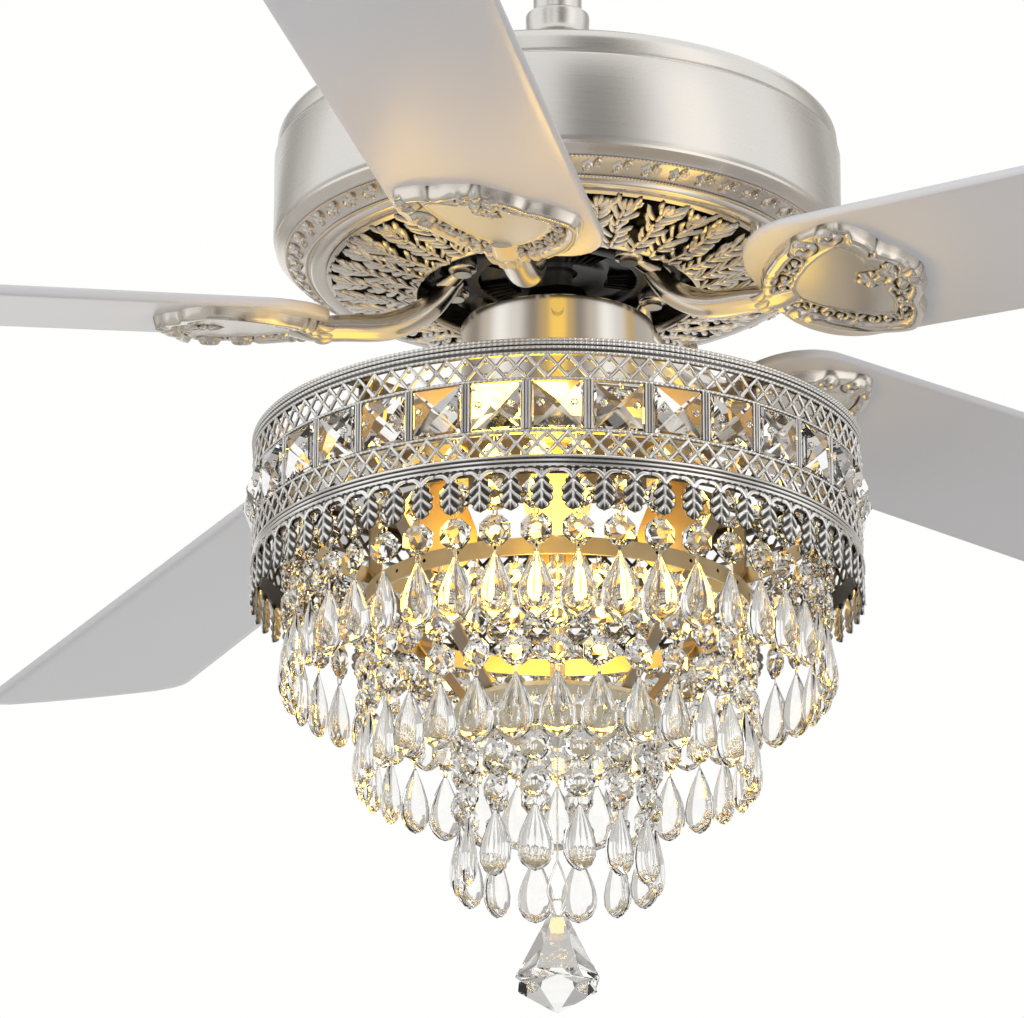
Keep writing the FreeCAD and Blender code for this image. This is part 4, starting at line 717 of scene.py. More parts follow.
def bar(start, end, wide, tall, face, recess=1.0):
    """Straight bar with a rounded face, between two points on the band at azimuth zero. Its outward crest is
    marked bright and its flanks and back dark: painted shade, in part the antique patina."""
    path = np.linspace(start, end, 4)
    # painted shade: the flanks and back of the bar are marked dark, the outward crest bright
    crest = np.array([1.0, 0.3, 0.0, 0.0, 0.0, 0.3]) * recess
    return sweep(path, face, wide, tall, 6, recess=crest[None, :])


def rope(radius, level, size, teeth):
    """Beaded edge: a small round ring whose radius ripples round the band."""
    a = np.arange(6) * (2 * math.pi / 6)
    profile = np.stack([radius + size * np.cos(a), level + size * np.sin(a)], -1)
    depth = 0.34 * size * (0.35 + 0.65 * np.clip(np.cos(a), -0.2, 1))
    # painted shade: the outward side of the beads is marked bright and the inner side dark, in part the antique patina
    return lathe(profile, teeth * 4, (teeth, depth), np.clip(1.4 * np.cos(a) - 0.4, 0, 1))


def build_band():
    """Gallery band: beaded and plain rims, two rows of crossed bars with small bosses, and double posts
    between the jewels."""
    r = 149.2
    z_top, lat1, rail1, jewel1 = BASE - 108.0, BASE - 113.4, BASE - 124.6, BASE - 126.2
    jewel2, lat2, rim, leaf = BASE - 150.4, BASE - 152.0, BASE - 163.2, BASE - 172.6
    parts = [rope(r + 0.6, z_top + 2.0, 0.9, 360), rope(r + 0.6, z_top + 0.4, 0.9, 360), rope(r + 0.2, z_top - 1.6, 1.0, 360), rope(r + 0.2, z_top - 4.4, 0.9, 360), rope(r, rail1 - 0.8, 0.8, 360),
             rope(r, lat2 + 0.8, 0.8, 360)]
    plain = [(r - 1.6, z_top - 0.2), (r - 1.6, z_top - 5.2), (r + 0.2, z_top - 5.2), (r + 0.5, z_top - 3.4), (r + 0.5, z_top - 2.2), (r, z_top - 0.2)]
    # the plain rim behind the ropes is marked dark: painted shade
    parts.append(lathe(plain, 240, recess=[0, 0, 0, 0.08, 0.08, 0]))
    ridges = [(0.0, 0.1), (0.5, 0.7), (1.2, 0.7), (1.6, 0.0), (2.4, 0.0), (2.8, 0.9), (3.6, 0.9), (4.0, 0.1), (4.7, 0.1), (5.1, 1.3), (6.2, 1.3),
              (6.6, 0.4), (9.2, 0.4), (9.4, 0.0)]
    low = [(r - 1.6, leaf), (r - 1.6, rim)] + [(r + out, rim - down) for down, out in ridges]
    # grooves between the ridges marked dark and ridges bright: painted shade, in part the antique patina
    parts.append(lathe(low, 240, recess=[0, 0] + [0.05 if out < 0.5 else 1.0 for _, out in ridges]))
    dot = flower(0.8, 0, 0.8, 6)
    upright = (np.stack([r + 0.4 - dot[0][:, 2], dot[0][:, 0], leaf + 1.5 + dot[0][:, 1]], -1), dot[1], dot[2])
    parts.append(copies(upright, steps(256)))
    for level in (rail1 - 0.8, lat2 + 0.8):
        # inner rings behind the ropes marked dark: painted shade
        parts.append(lathe([(r - 1.5, level - 0.7), (r - 0.2, level - 0.7), (r - 0.2, level + 0.7), (r - 1.5, level + 0.7)], 240, recess=0.1))
    cells = bpy.context.scene.fan_sizes.lattice_cells
    half = math.pi * r / cells
    lattice = []
    for top in (lat1, lat2):
        bottom = top - 11.2
        mid = (top + bottom) / 2
        for side in (-1, 1):
            lattice.append(copies(bar((r, -half * side, top), (r, half * side, bottom), 0.95, 0.95, (1, 0, 0)), steps(cells)))
        boss = flower(1.5, 4, 1.1, 8)
        stand = (np.stack([r + 0.4 - boss[0][:, 2], boss[0][:, 0], mid + boss[0][:, 1]], -1), boss[1], boss[2])
        lattice.append(copies(stand, steps(cells)))
        loop_angle = np.arange(10) * (2 * math.pi / 10)
        for level in (top - 1.5, bottom + 1.5):
            loop = np.stack([0 * loop_angle + r, half + 1.1 * np.cos(loop_angle), level + 1.2 * np.sin(loop_angle)], -1)
            lattice.append(copies(sweep(loop, (1, 0, 0), 0.75, 0.55, 5, True, np.array([[1, 0.2, 0, 0, 0.2]])), steps(cells)))
    for shift in (-1.55, 0.0, 1.55):
        size = 0.62 if shift else 0.8
        parts.append(copies(bar((r + 0.1, shift, jewel1), (r + 0.1, shift, jewel2), size, size, (1, 0, 0), 0.9 if shift else 0.5), steps(32, 180 / 32)))
    web = np.array([(-2.3, jewel2), (2.3, jewel2), (2.3, jewel1), (-2.3, jewel1)])
    plate = np.stack([np.column_stack([np.full(4, r - 1.2), web]), np.column_stack([np.full(4, r - 0.4), web])])
    caps = np.array([[0, 1, 2, 3], [4, 5, 6, 7]])
    # web plates behind the posts marked dark: painted shade
    sides = shell(plate, False, True, 0.05)
    parts.append(copies((sides[0], np.concatenate([sides[1], caps]), sides[2]), steps(32, 180 / 32)))
    make_piece("band_rims", parts, finish("silver"), "fan_body", ["band_frame"], crease=60)
    make_piece("band_lattice", lattice, finish("silver"), "fan_body", ["upper_lattice", "lower_lattice"], crease=60)
    build_jewels(jewel1, jewel2)


def build_jewels(top, bottom):
    """Square stones: a four-sided pyramid front with a bevelled girdle and a shallow pyramid back."""
    x = 148.2
    half_y, half_z = 12.0, (top - bottom) / 2 - 0.3
    mid = (top + bottom) / 2
    square = np.array([(-1, -1), (1, -1), (1, 1), (-1, 1.0)])
    rows = []
    for depth, size in ((-4.0, 0.02), (-1.0, 0.97), (0.9, 1.0), (2.0, 0.93), (6.8, 0.02)):
        rows.append(np.column_stack([np.full(4, x + depth), square[:, 0] * half_y * size, mid + square[:, 1] * half_z * size]))
    part = shell(np.stack(rows), False, True)
    ends = np.array([[0, 1, 2, 3], [16, 17, 18, 19]])
    stone = part[0], np.concatenate([part[1], ends]), part[2]
    a = np.arange(8) * (2 * math.pi / 8)
    rise = np.array([0.0, 0.5, 0.87, 1.0, 0.87, 0.5, 0.0])
    lens_x = np.array([-1.0, -0.87, -0.5, 0.0, 0.5, 0.87, 1.0])
    ball = np.stack([np.repeat(lens_x[:, None], 8, 1) * 1.5, rise[:, None] * np.cos(a) * 2.1, rise[:, None] * np.sin(a) * 2.1], -1)
    bubble = shell(ball, False, True)
    bubbles = [copies(moved(bubble, x + 3.4, side * 8.0, mid), steps(32)) for side in (-1, 1)]
    make_piece("square_stones", [copies(stone, steps(32))] + bubbles, finish("crystal"), "fan_body", ["jewels"], flat=True)


def build_leaves():
    """Fringe of stamped leaves on forked stems. A leaf's half width follows a swell with
    drooping lobes; thin raised veins slant down from its midrib and stay bright over a dark ground."""
    top = BASE - 171.6
    t = np.linspace(0, 1, 31)[:, None]
    v = np.linspace(-1, 1, 13)[None, :]
    swell = np.interp(t[:, 0], [0, 0.08, 0.2, 0.36, 0.55, 0.74, 0.9, 1], [1.6, 2.0, 4.6, 5.6, 5.7, 4.6, 2.6, 0.1])
    lobe = 4.0 * (t + 0.02)
    notch = 1 - 0.3 * np.exp(-((lobe - np.round(lobe)) / 0.16) ** 2)[:, 0]
    y = v * (swell * notch)[:, None]
    z = top - 19.4 * t - 2.0 * np.abs(v) * np.sin(math.pi * np.clip(t, 0, 1)) + 0 * v
    phase = 4.0 * (t + 0.02) - 0.62 * np.abs(v)
    line = np.exp(-((phase - np.round(phase)) / 0.17) ** 2) * np.clip((np.abs(v) - 0.1) / 0.1, 0, 1) * np.clip((0.98 - np.abs(v)) / 0.1, 0, 1)
    rib = np.exp(-(v / 0.07) ** 2)
    x = 149.9 + 0.7 * line + 0.8 * rib + 0.5 * t * t - 0.9 * v * v
    front = np.stack([x + 0 * y, y, z], -1)
    back = np.stack([x - 0.8 - 0.4 * line, y, z], -1)
    # the ground between the veins is marked dark, the veins and midrib bright and the back dark: painted shade, in part
    # the antique patina
    mark = np.clip(0.02 + line + 0.5 * rib, 0, 1)
    grid = np.concatenate([front, back[:, ::-1]], 1)
    leaf = shell(grid, False, True, np.concatenate([mark, 0 * mark + 0.3], 1))
    arms = []
    for side in (-1, 1):
        line = smooth_line([(150.2, 0, top - 3.4), (150.3, side * 1.6, top - 1.4), (150.3, side * 3.9, top + 0.1), (150.1, side * 6.6, top + 0.2)], 7)
        arms.append(sweep(line, (1, 0, 0), 0.75, np.linspace(1.25, 0.85, 7), 6, recess=np.array([[1.0, 0.75, 0.3, 0.2, 0.3, 0.75]])))
    count = bpy.context.scene.fan_sizes.leaf_count
    parts = [copies(part, steps(count, 180 / count)) for part in [leaf] + arms]
    make_piece("leaf_row", parts, finish("silver"), "fan_body", ["leaf_fringe"], crease=60)


def octagon(across):
    """Eight-sided bead facing +X: a table, a star of sloping facets, a thin edge and the same behind."""
    a = np.radians(np.arange(8) * 45.0 + 22.5)
    wide = across / 2 / math.cos(math.pi / 8)
    rows = []
    for depth, size, twist in ((-3.6, 0.4, 22.5), (-0.8, 0.98, 0), (0.8, 0.98, 0), (3.6, 0.4, 22.5)):
        b = a + math.radians(twist)
        rows.append(np.stack([np.full(8, depth), wide * size * np.cos(b), wide * size * np.sin(b)], -1))
    part = shell(np.stack(rows), False, True)
    caps = np.array([[0, 1, 2, 3], [0, 3, 4, 7], [4, 5, 6, 7], [24, 25, 26, 27], [24, 27, 28, 31], [28, 29, 30, 31]])
    first = np.concatenate([part[1][:8, [0, 1, 2]], part[1][:8, [0, 2, 3]], part[1][16:, [0, 1, 2]], part[1][16:, [0, 2, 3]]])
    flat = np.concatenate([first, part[1][8:16, [0, 1, 2]], part[1][8:16, [0, 2, 3]], caps[:, [0, 1, 2]], caps[:, [0, 2, 3]]])
    return part[0], flat, part[2]


def teardrop(tall, wide):
    """Long drop hanging from its point: an ellipse whose size follows a drop's outline, cut in twelve sides."""
    t = np.array([0.0, 0.04, 0.14, 0.3, 0.48, 0.64, 0.78, 0.9, 0.97, 1.0])
    size = np.array([0.07, 0.13, 0.33, 0.63, 0.89, 1.0, 0.95, 0.7, 0.36, 0.02])
    a = np.radians(np.arange(12) * 30.0)
    deep = wide * 0.52
    grid = np.stack([size[:, None] * deep / 2 * np.cos(a), size[:, None] * wide / 2 * np.sin(a), np.repeat(-tall * t[:, None], 12, 1)], -1)
    part = shell(grid, False, True)
    cap = np.arange(12)
    ends = np.array([[0, 1, 2, 3], [0, 3, 4, 5], [0, 5, 6, 7], [0, 7, 8, 9], [0, 9, 10, 11]])
    return part[0], np.concatenate([part[1], ends, ends + 12 * 9]), part[2]


def hang(part, radius, levels, angles, twists):
    """Copies of a part on a ring: each is twisted about its own upright line, then carried out and round."""
    points, faces, mark = part
    w = np.radians(twists)
    c, s = np.cos(w), np.sin(w)
    x = points[None, :, 0] * c[:, None] - points[None, :, 1] * s[:, None] + radius
    y = points[None, :, 0] * s[:, None] + points[None, :, 1] * c[:, None]
    a = np.radians(angles)
    ca, sa = np.cos(a)[:, None], np.sin(a)[:, None]
    z = points[None, :, 2] + np.asarray(levels)[:, None]
    many = np.stack([x * ca - y * sa, x * sa + y * ca, z], -1).reshape(-1, 3)
    n = len(angles)
    shifted = (faces[None] + (np.arange(n) * len(points))[:, None, None]).reshape(-1, faces.shape[1])
    return many, shifted, np.tile(mark, n)


def build_strands():
    """Strings of three octagons and a drop under each ring, with wire rings between them, a seeded small
    twist on every stone, and the ring strips that carry them, with black discs painted on as the dark holes: painted
    shade."""
    sizes = bpy.context.scene.fan_sizes
    bead, hook, link = (value / MM for value in (sizes.bead_width, sizes.hook_length, sizes.link_length))
    drop = teardrop(sizes.drop_length / MM, sizes.drop_width / MM)
    chance = np.random.default_rng(7)
    loop_angle = np.arange(9) * (2 * math.pi / 9)
    links = []
    for tier, (count, radius, level, shift) in enumerate(TIERS):
        angles = steps(count, -90.0 + shift * 360.0 / count)
        beads = []
        at = level - hook
        loops = [(level - 1.0 - hook / 2, hook / 2 + 1.4)]
        for _ in range(3):
            twist = chance.uniform(-16, 16, count)
            beads.append(hang(octagon(bead), radius, np.full(count, at - bead / 2), angles, twist))
            loops.append((at - bead - link / 2, link / 2 + 1.3))
            at -= bead + link
        drops = hang(drop, radius, np.full(count, at), angles, chance.uniform(-22, 22, count))
        make_piece(f"octagon_beads_{tier + 1}", beads, finish("crystal"), "fan_body", [f"octagons_tier_{tier + 1}"], flat=True)
        make_piece(f"tear_drops_{tier + 1}", [drops], finish("crystal"), "fan_body", [f"drops_tier_{tier + 1}"], crease=27)
        for z, tall in loops:
            path = np.stack([0 * loop_angle, 1.0 * np.cos(loop_angle), tall * np.sin(loop_angle)], -1)
            ring = sweep(path, (1, 0, 0), 0.36, 0.36, 4, True)
            links.append(hang(ring, radius, np.full(count, z), angles, chance.uniform(-40, 40, count)))
    make_piece("wire_links", links, finish("wire"), "fan_body", ["strand_links"])
    for tier, (count, radius, level, shift) in enumerate(TIERS[:2]):
        strip = [(radius - 0.6, level), (radius + 0.6, level), (radius + 0.6, level + 8.5), (radius - 0.6, level + 8.5)]
        parts = [lathe(strip, 200)]
        # black discs where the strip's holes would be: painted shade seen through the openings
        hole = flower(0.85, 0, 0.12, 8)
        spot = (np.stack([radius + 0.62 - hole[0][:, 2], hole[0][:, 0], level + 4.6 + hole[0][:, 1]], -1), hole[1], hole[2])
        make_piece(f"ring_strip_{tier + 1}", parts, finish("strip"), "fan_body", [f"tier_ring_{tier + 1}"])
        dots = copies(spot, steps(count, -90.0 + (shift + 0.5) * 360.0 / count))
        make_piece(f"painted_hole_shade_{tier + 1}", [dots], finish("black"), "fan_body")


def build_lamps():
    """Four round frosted lamps: a straight neck that swells into a globe. The near one burns brightest."""
    mouth = BASE - 126.0
    neck = smooth_line([(6.8, mouth + 9.8), (6.8, mouth), (8.4, mouth - 3), (12.6, mouth - 14), (16.3, mouth - 24), (16.4, mouth - 29),
                        (14.2, mouth - 36.5), (8.0, mouth - 42.5), (0.01, mouth - 44.0)], 40)
    glow = np.linspace(0, 1, 40) ** 1.3
    part = lathe(np.concatenate([neck, [(0.01, mouth + 9.8)]]), 40, recess=np.append(glow, 0))
    near = copies(moved(part, 56.0), [-90.0])
    dim = part[0], part[1], part[2] * 0.3
    rest = copies(moved(dim, 56.0), [0.0, 90.0, 180.0])
    make_piece("lamp_globes", [near, rest], finish("lamp"), "fan_body", ["bulbs"])


def build_pendant():
    """Cut pendant: a six-sided crown, a band of kite facets at the girdle and a point below, hung by a
    bent wire hook and a small six-sided bail."""
    top, girdle, tip = BASE - 347.0, BASE - 381.0, BASE - 395.0
    a = np.radians(np.arange(6) * 60.0)
    rows = [(5.0, top, 0), (6.2, top - 2.2, 0), (20.4, girdle + 4.2, 0), (21.2, girdle, 30), (19.0, girdle - 3.2, 0), (0.05, tip, 0)]
    grid = np.stack([np.stack([r * np.cos(a + math.radians(w)), r * np.sin(a + math.radians(w)), np.full(6, z)], -1) for r, z, w in rows])
    part = shell(grid, False, True)
    faces = np.concatenate([part[1][:, [0, 1, 2]], part[1][:, [0, 2, 3]], np.array([[0, 1, 2], [0, 2, 3], [0, 3, 4], [0, 4, 5]])])
    make_piece("cut_pendant", [(part[0], faces, part[2])], finish("crystal"), "pendant", ["pendant_crystal"], flat=True)
    hook_top = BASE - 261.3
    stem = smooth_line([(0, 0, hook_top), (0, 0, hook_top - 30), (0, 0, hook_top - 58)], 12)
    parts = [sweep(stem, (1, 0, 0), 0.5, 0.5, 8)]
    for side in (-1, 1):
        leg = smooth_line([(0, 0, hook_top - 57), (side * 2.0, 0, hook_top - 62), (side * 4.2, 0, hook_top - 69), (side * 4.6, 0, hook_top - 74),
                           (side * 2.6, 0, hook_top - 80), (0, 0, top - 1.6)], 28)
        parts.append(sweep(leg, (0, 1, 0), 0.55, 0.55, 8))
    hexagon = np.radians(np.arange(6) * 60.0)
    bail = np.stack([4.2 * np.cos(hexagon), 0 * hexagon, top + 5.0 + 4.6 * np.sin(hexagon)], -1)
    parts.append(sweep(bail, (0, 1, 0), 0.55, 0.55, 8, True))
    make_piece("pendant_wire", parts, finish("wire"), "pendant", ["pendant_link"])


def dress_nodes():
    """Give every node that stays its finish in its own slot."""
    chosen = {
        "canopy_screws": "nickel", "cup_screws": "nickel", "hanger_bracket": "steel", "ball_pin": "steel", "yoke": "steel",
        "yoke_bolt": "steel", "yoke_screws": "steel", "motor_shaft": "steel", "stator_core": "steel", "bearings": "steel",
        "blade_screws": "nickel", "iron_screws": "nickel", "light_spider": "frame", "tier_straps": "bronze", "centre_rod": "nickel",
        "nuts": "nickel", "tier_plate_3": "strip", "rotor_top_cover": "black", "rotor_cage": "black", "stator_windings": "copper",
        "hanger_ball": "black_plastic", "run_capacitor": "black_plastic", "lamp_sockets": "lamp_holder",
    }
    for node, name in chosen.items():
        slots = NODES[node].data.materials
        for k in range(max(1, len(slots))):
            if len(slots):
                slots[k] = finish(name)
            else:
                slots.append(finish(name))


# Stage


def card_light(name, tone):
    """Plain glowing surface for a reflection panel."""
    material = bpy.data.materials.new(name)
    material.use_nodes = True
    tree = material.node_tree
    tree.nodes.remove(tree.nodes["Principled BSDF"])
    glow = add(tree, "ShaderNodeEmission")
    glow.inputs["Color"].default_value = (*tone, 1)
    tree.links.new(glow.outputs["Emission"], tree.nodes["Material Output"].inputs["Surface"])
    return material


def card(name, azimuth, distance, wide, low, high, tone):
    """Upright panel that only reflections see, standing round the fan at an azimuth."""
    corners = np.array([(distance, -wide / 2, low), (distance, wide / 2, low), (distance, wide / 2, high),
                        (distance, -wide / 2, high)])
    mesh = bpy.data.meshes.new(name)
    mesh.from_pydata(turn(corners, azimuth).tolist(), [], [[0, 3, 2, 1]])
    mesh.materials.append(card_light(name, tone))
    obj = bpy.data.objects.new(name, mesh)
    bpy.context.scene.collection.objects.link(obj)
    obj.visible_camera = False
    obj.visible_diffuse = False
    obj.visible_shadow = False


def glow_ring(name, inner, outer, level, tone, middle=0.0, spread_angle=360.0):
    """Flat ring or sector that only reflections see: the lit top of the shade and the dim room below,
    mirrored in the irons and blades."""
    a = np.radians(middle + np.linspace(-0.5, 0.5, 49) * spread_angle)
    rings = np.array([max(inner, 1e-4), outer])[:, None]
    points = np.stack([rings * np.cos(a), rings * np.sin(a), np.full((2, 49), level)], -1)
    mesh = bpy.data.meshes.new(name)
    mesh.from_pydata(points.reshape(-1, 3).tolist(), [], quads(2, 49).tolist())
    mesh.materials.append(card_light(name, tone))
    obj = bpy.data.objects.new(name, mesh)
    bpy.context.scene.collection.objects.link(obj)
    obj.visible_camera = False
    obj.visible_diffuse = False
    obj.visible_shadow = False
    obj.visible_transmission = False


def cup_surround():
    """Upright drum close round the cup that only reflections see. Its tone changes softly with the angle
    from the front: gold in the middle, pale panels at each side and dim bands between them."""
    gold, pale, dim = (1.15, 0.74, 0.17), (1.06, 1.05, 1.01), (0.32, 0.28, 0.235)
    mellow, brass, grey = (0.62, 0.56, 0.48), (0.62, 0.44, 0.2), (0.5, 0.46, 0.42)
    bands = ((-100, mellow), (-66, dim), (-53, mellow), (-40, pale), (-28, (0.8, 0.77, 0.72)), (-16, dim), (-8, brass), (-2, gold), (3, gold), (8, brass),
             (14, dim), (23, mellow), (33, pale), (44, (0.8, 0.77, 0.72)), (55, brass), (63, grey), (100, mellow))
    a = np.linspace(-100.0, 100.0, 81)
    angle = np.radians(a - 90.0)
    rim = np.stack([0.052 * np.cos(angle), 0.052 * np.sin(angle)], -1)
    points = np.concatenate([np.column_stack([rim, np.full(81, level)]) for level in (-0.345, -0.291)])
    mesh = bpy.data.meshes.new("cup_surround")
    mesh.from_pydata(points.tolist(), [], quads(2, 81).tolist())
    layer = mesh.attributes.new("turn", "FLOAT", "POINT")
    layer.data.foreach_set("value", np.tile((a + 100.0) / 200.0, 2).astype(np.float32))
    material = card_light("cup_surround", dim)
    tree = material.node_tree
    place = add(tree, "ShaderNodeAttribute", attribute_name="turn")
    ramp = blend_colours(tree, place.outputs["Fac"], bands[0][1], bands[-1][1])
    ramp.color_ramp.interpolation = "EASE"
    for degrees, tone in bands[1:-1]:
        ramp.color_ramp.elements.new((degrees + 100.0) / 200.0).color = (*tone, 1)
    tree.links.new(ramp.outputs["Color"], tree.nodes["Emission"].inputs["Color"])
    mesh.materials.append(material)
    obj = bpy.data.objects.new("cup_surround", mesh)
    bpy.context.scene.collection.objects.link(obj)
    obj.visible_camera = False
    obj.visible_diffuse = False
    obj.visible_shadow = False
    obj.visible_transmission = False


def build_stage():
    """Pale floor, soft lamps, reflection panels, white surroundings and the photograph's camera."""
    scene = bpy.context.scene
    stage = scene.fan_stage
    scene.view_settings.view_transform = "Standard"
    mesh = bpy.data.meshes.new("floor")
    size, z = 60.0, stage.floor_level
    mesh.from_pydata([(-size, -size, z), (size, -size, z), (size, size, z), (-size, size, z)], [], [[0, 1, 2, 3]])
    material, tree, shader = new_finish("pale_floor")
    cloud = grain(tree, 2.0, (1, 1, 1))
    tone = blend_colours(tree, cloud, (0.86, 0.86, 0.85), (0.9, 0.9, 0.89))
    tree.links.new(tone.outputs["Color"], shader.inputs["Base Color"])
    shader.inputs["Roughness"].default_value = 0.8
    seen = add(tree, "ShaderNodeLightPath")
    lift = add(tree, "ShaderNodeMath", operation="MULTIPLY")
    lift.inputs[1].default_value = stage.floor_lift
    tree.links.new(seen.outputs["Is Camera Ray"], lift.inputs[0])
    tree.links.new(lift.outputs["Value"], shader.inputs["Emission Strength"])
    tree.links.new(tone.outputs["Color"], shader.inputs["Emission Color"])
    mesh.materials.append(material)
    floor = bpy.data.objects.new("floor", mesh)
    scene.collection.objects.link(floor)
    world = bpy.data.worlds.new("studio")
    scene.world = world
    world.use_nodes = True
    tree = world.node_tree
    soft = tree.nodes["Background"]
    soft.inputs["Color"].default_value = (1, 0.985, 0.96, 1)
    soft.inputs["Strength"].default_value = stage.world_light
    white = add(tree, "ShaderNodeBackground")
    white.inputs["Color"].default_value = (1, 1, 0.99, 1)
    white.inputs["Strength"].default_value = 1.0
    path = add(tree, "ShaderNodeLightPath")
    either = add(tree, "ShaderNodeMath", operation="MAXIMUM")
    any_ray = add(tree, "ShaderNodeMath", operation="MAXIMUM")
    tree.links.new(path.outputs["Is Camera Ray"], either.inputs[0])
    tree.links.new(path.outputs["Is Glossy Ray"], either.inputs[1])
    tree.links.new(either.outputs["Value"], any_ray.inputs[0])
    tree.links.new(path.outputs["Is Transmission Ray"], any_ray.inputs[1])
    mix = add(tree, "ShaderNodeMixShader")
    tree.links.new(any_ray.outputs["Value"], mix.inputs["Fac"])
    tree.links.new(soft.outputs["Background"], mix.inputs[1])
    tree.links.new(white.outputs["Background"], mix.inputs[2])
    tree.links.new(mix.outputs["Shader"], tree.nodes["World Output"].inputs["Surface"])
    panels = ((-77.0, 0.85, 0.24), (-61.0, 0.38, 0.5), (-36.0, 0.9, 1.3), (24.0, 0.5, 0.65), (41.0, 0.8, 0.42), (62.0, 0.7, 0.6), (133.0, 0.9, 0.4),
              (152.0, 0.4, 0.6), (-112.0, 0.25, 0.35), (-135.0, 0.5, 0.5))
    for k, (azimuth, wide, tone) in enumerate(panels):
        card(f"panel_{k + 1}", azimuth, 2.2, wide, -2.6, 1.6, (tone, tone * 0.965, tone * 0.92))
    cup_surround()
    glow_ring("under_panel", 0.0, 1.5, -2.3, (0.36, 0.345, 0.33))
    glow_ring("glow_inner", 0.052, 0.104, (BASE - 104.0) * MM, (0.92, 0.74, 0.44))
    glow_ring("glow_outer", 0.104, 0.142, (BASE - 104.0) * MM, (0.46, 0.41, 0.35))
    for k, azimuth in enumerate(BLADE_AZIMUTHS):
        tone = (1.0, 0.68, 0.28) if k % 2 else (1.7, 1.22, 0.34)
        glow_ring(f"glow_arm_{k + 1}", 0.08, 0.126, (BASE - 102.0) * MM, tone, azimuth, 34.0)
    for name, place, power, extent in (("key", (-1.6, -2.6, 1.2), stage.key_power, 1.6), ("fill", (2.2, -2.2, -0.8), stage.key_power * 0.3, 1.8),
                                       ("under", (-2.2, -1.4, -2.6), stage.key_power * 0.66, 2.4)):
        lamp = bpy.data.lights.new(name, "AREA")
        lamp.energy = power
        lamp.size = extent
        obj = bpy.data.objects.new(name, lamp)
        obj.location = place
        aim = np.array([0, 0, -0.35]) - np.array(place)
        obj.rotation_mode = "QUATERNION"
        obj.rotation_quaternion = Vector(aim).to_track_quat("-Z", "Y")
        obj.visible_camera = False
        obj.visible_glossy = False
        scene.collection.objects.link(obj)
    for k in range(2):
        lamp = bpy.data.lights.new(f"warm_{k}", "POINT")
        lamp.energy = stage.warm_power
        lamp.color = (1.0, 0.6, 0.06)
        lamp.shadow_soft_size = 0.03
        obj = bpy.data.objects.new(f"warm_{k}", lamp)
        obj.location = ((0.0, -0.02)[k], (0.0, -0.1)[k], (BASE - (195.0, 140.0)[k]) * MM)
        obj.parent = bpy.data.objects["lamp_globes"]
        obj.visible_camera = False
        scene.collection.objects.link(obj)
    for k, azimuth in enumerate(np.radians(BLADE_AZIMUTHS[::2])):
        lamp = bpy.data.lights.new(f"arm_glow_{k + 1}", "POINT")
        lamp.energy = stage.warm_power * 0.02
        lamp.color = (1.0, 0.62, 0.16)
        lamp.shadow_soft_size = 0.015
        obj = bpy.data.objects.new(f"arm_glow_{k + 1}", lamp)
        obj.location = (0.1 * math.cos(azimuth), 0.1 * math.sin(azimuth) - 0.045, (BASE - 95.0) * MM)
        obj.parent = bpy.data.objects["lamp_globes"]
        obj.visible_camera = False
        scene.collection.objects.link(obj)
    lamp = bpy.data.lights.new("blade_glow", "SPOT")
    lamp.energy = stage.warm_power * 9.0
    lamp.spot_size = math.radians(20.0)
    lamp.spot_blend = 1.0
    lamp.shadow_soft_size = 0.05
    lamp.color = (1.0, 0.5, 0.12)
    obj = bpy.data.objects.new("blade_glow", lamp)
    obj.location = (-0.06, -0.46, -1.0)
    obj.rotation_mode = "QUATERNION"
    obj.rotation_quaternion = Vector((0.015, 0.22, 0.7)).to_track_quat("-Z", "Y")
    obj.visible_camera = False
    obj.visible_glossy = False
    scene.collection.objects.link(obj)
    camera = bpy.data.cameras.new("photo_camera")
    camera.sensor_width = 36.0
    camera.lens = stage.lens
    camera.shift_x = stage.shift_x
    camera.clip_start, camera.clip_end = 0.05, 100.0
    obj = bpy.data.objects.new("photo_camera", camera)
    obj.location = (0.0, -2.9664, -1.4298)
    obj.rotation_euler = (math.radians(109.345), 0, 0)
    scene.collection.objects.link(obj)
    scene.camera = obj


# Settings, operators and panel


def colour(label, words, value):
    return bpy.props.FloatVectorProperty(name=label, description=words, default=value, subtype="COLOR", min=0.0, max=1.0)


def length(label, words, value):
    return bpy.props.FloatProperty(name=label, description=words, default=value, unit="LENGTH", precision=4)


class FanSizes(bpy.types.PropertyGroup):
    """Sizes and counts of the ornament that stay inside the solids they dress."""
    bead_width: length("Bead width", "Width of an octagon bead across its flats", 0.0153)
    drop_length: length("Drop length", "Length of a tear drop", 0.034)
    drop_width: length("Drop width", "Widest part of a tear drop", 0.018)
    hook_length: length("Hook", "Wire between a ring strip and its first bead", 0.004)
    link_length: length("Link", "Wire between two beads", 0.0027)
    lattice_cells: bpy.props.IntProperty(name="Lattice cells", description="Crossed bars round each lattice row", default=96, min=12)
    leaf_count: bpy.props.IntProperty(name="Leaves", description="Stamped leaves round the fringe", default=64, min=8)
    frond_count: bpy.props.IntProperty(name="Fronds", description="Fern fronds round the grille", default=36, min=8)


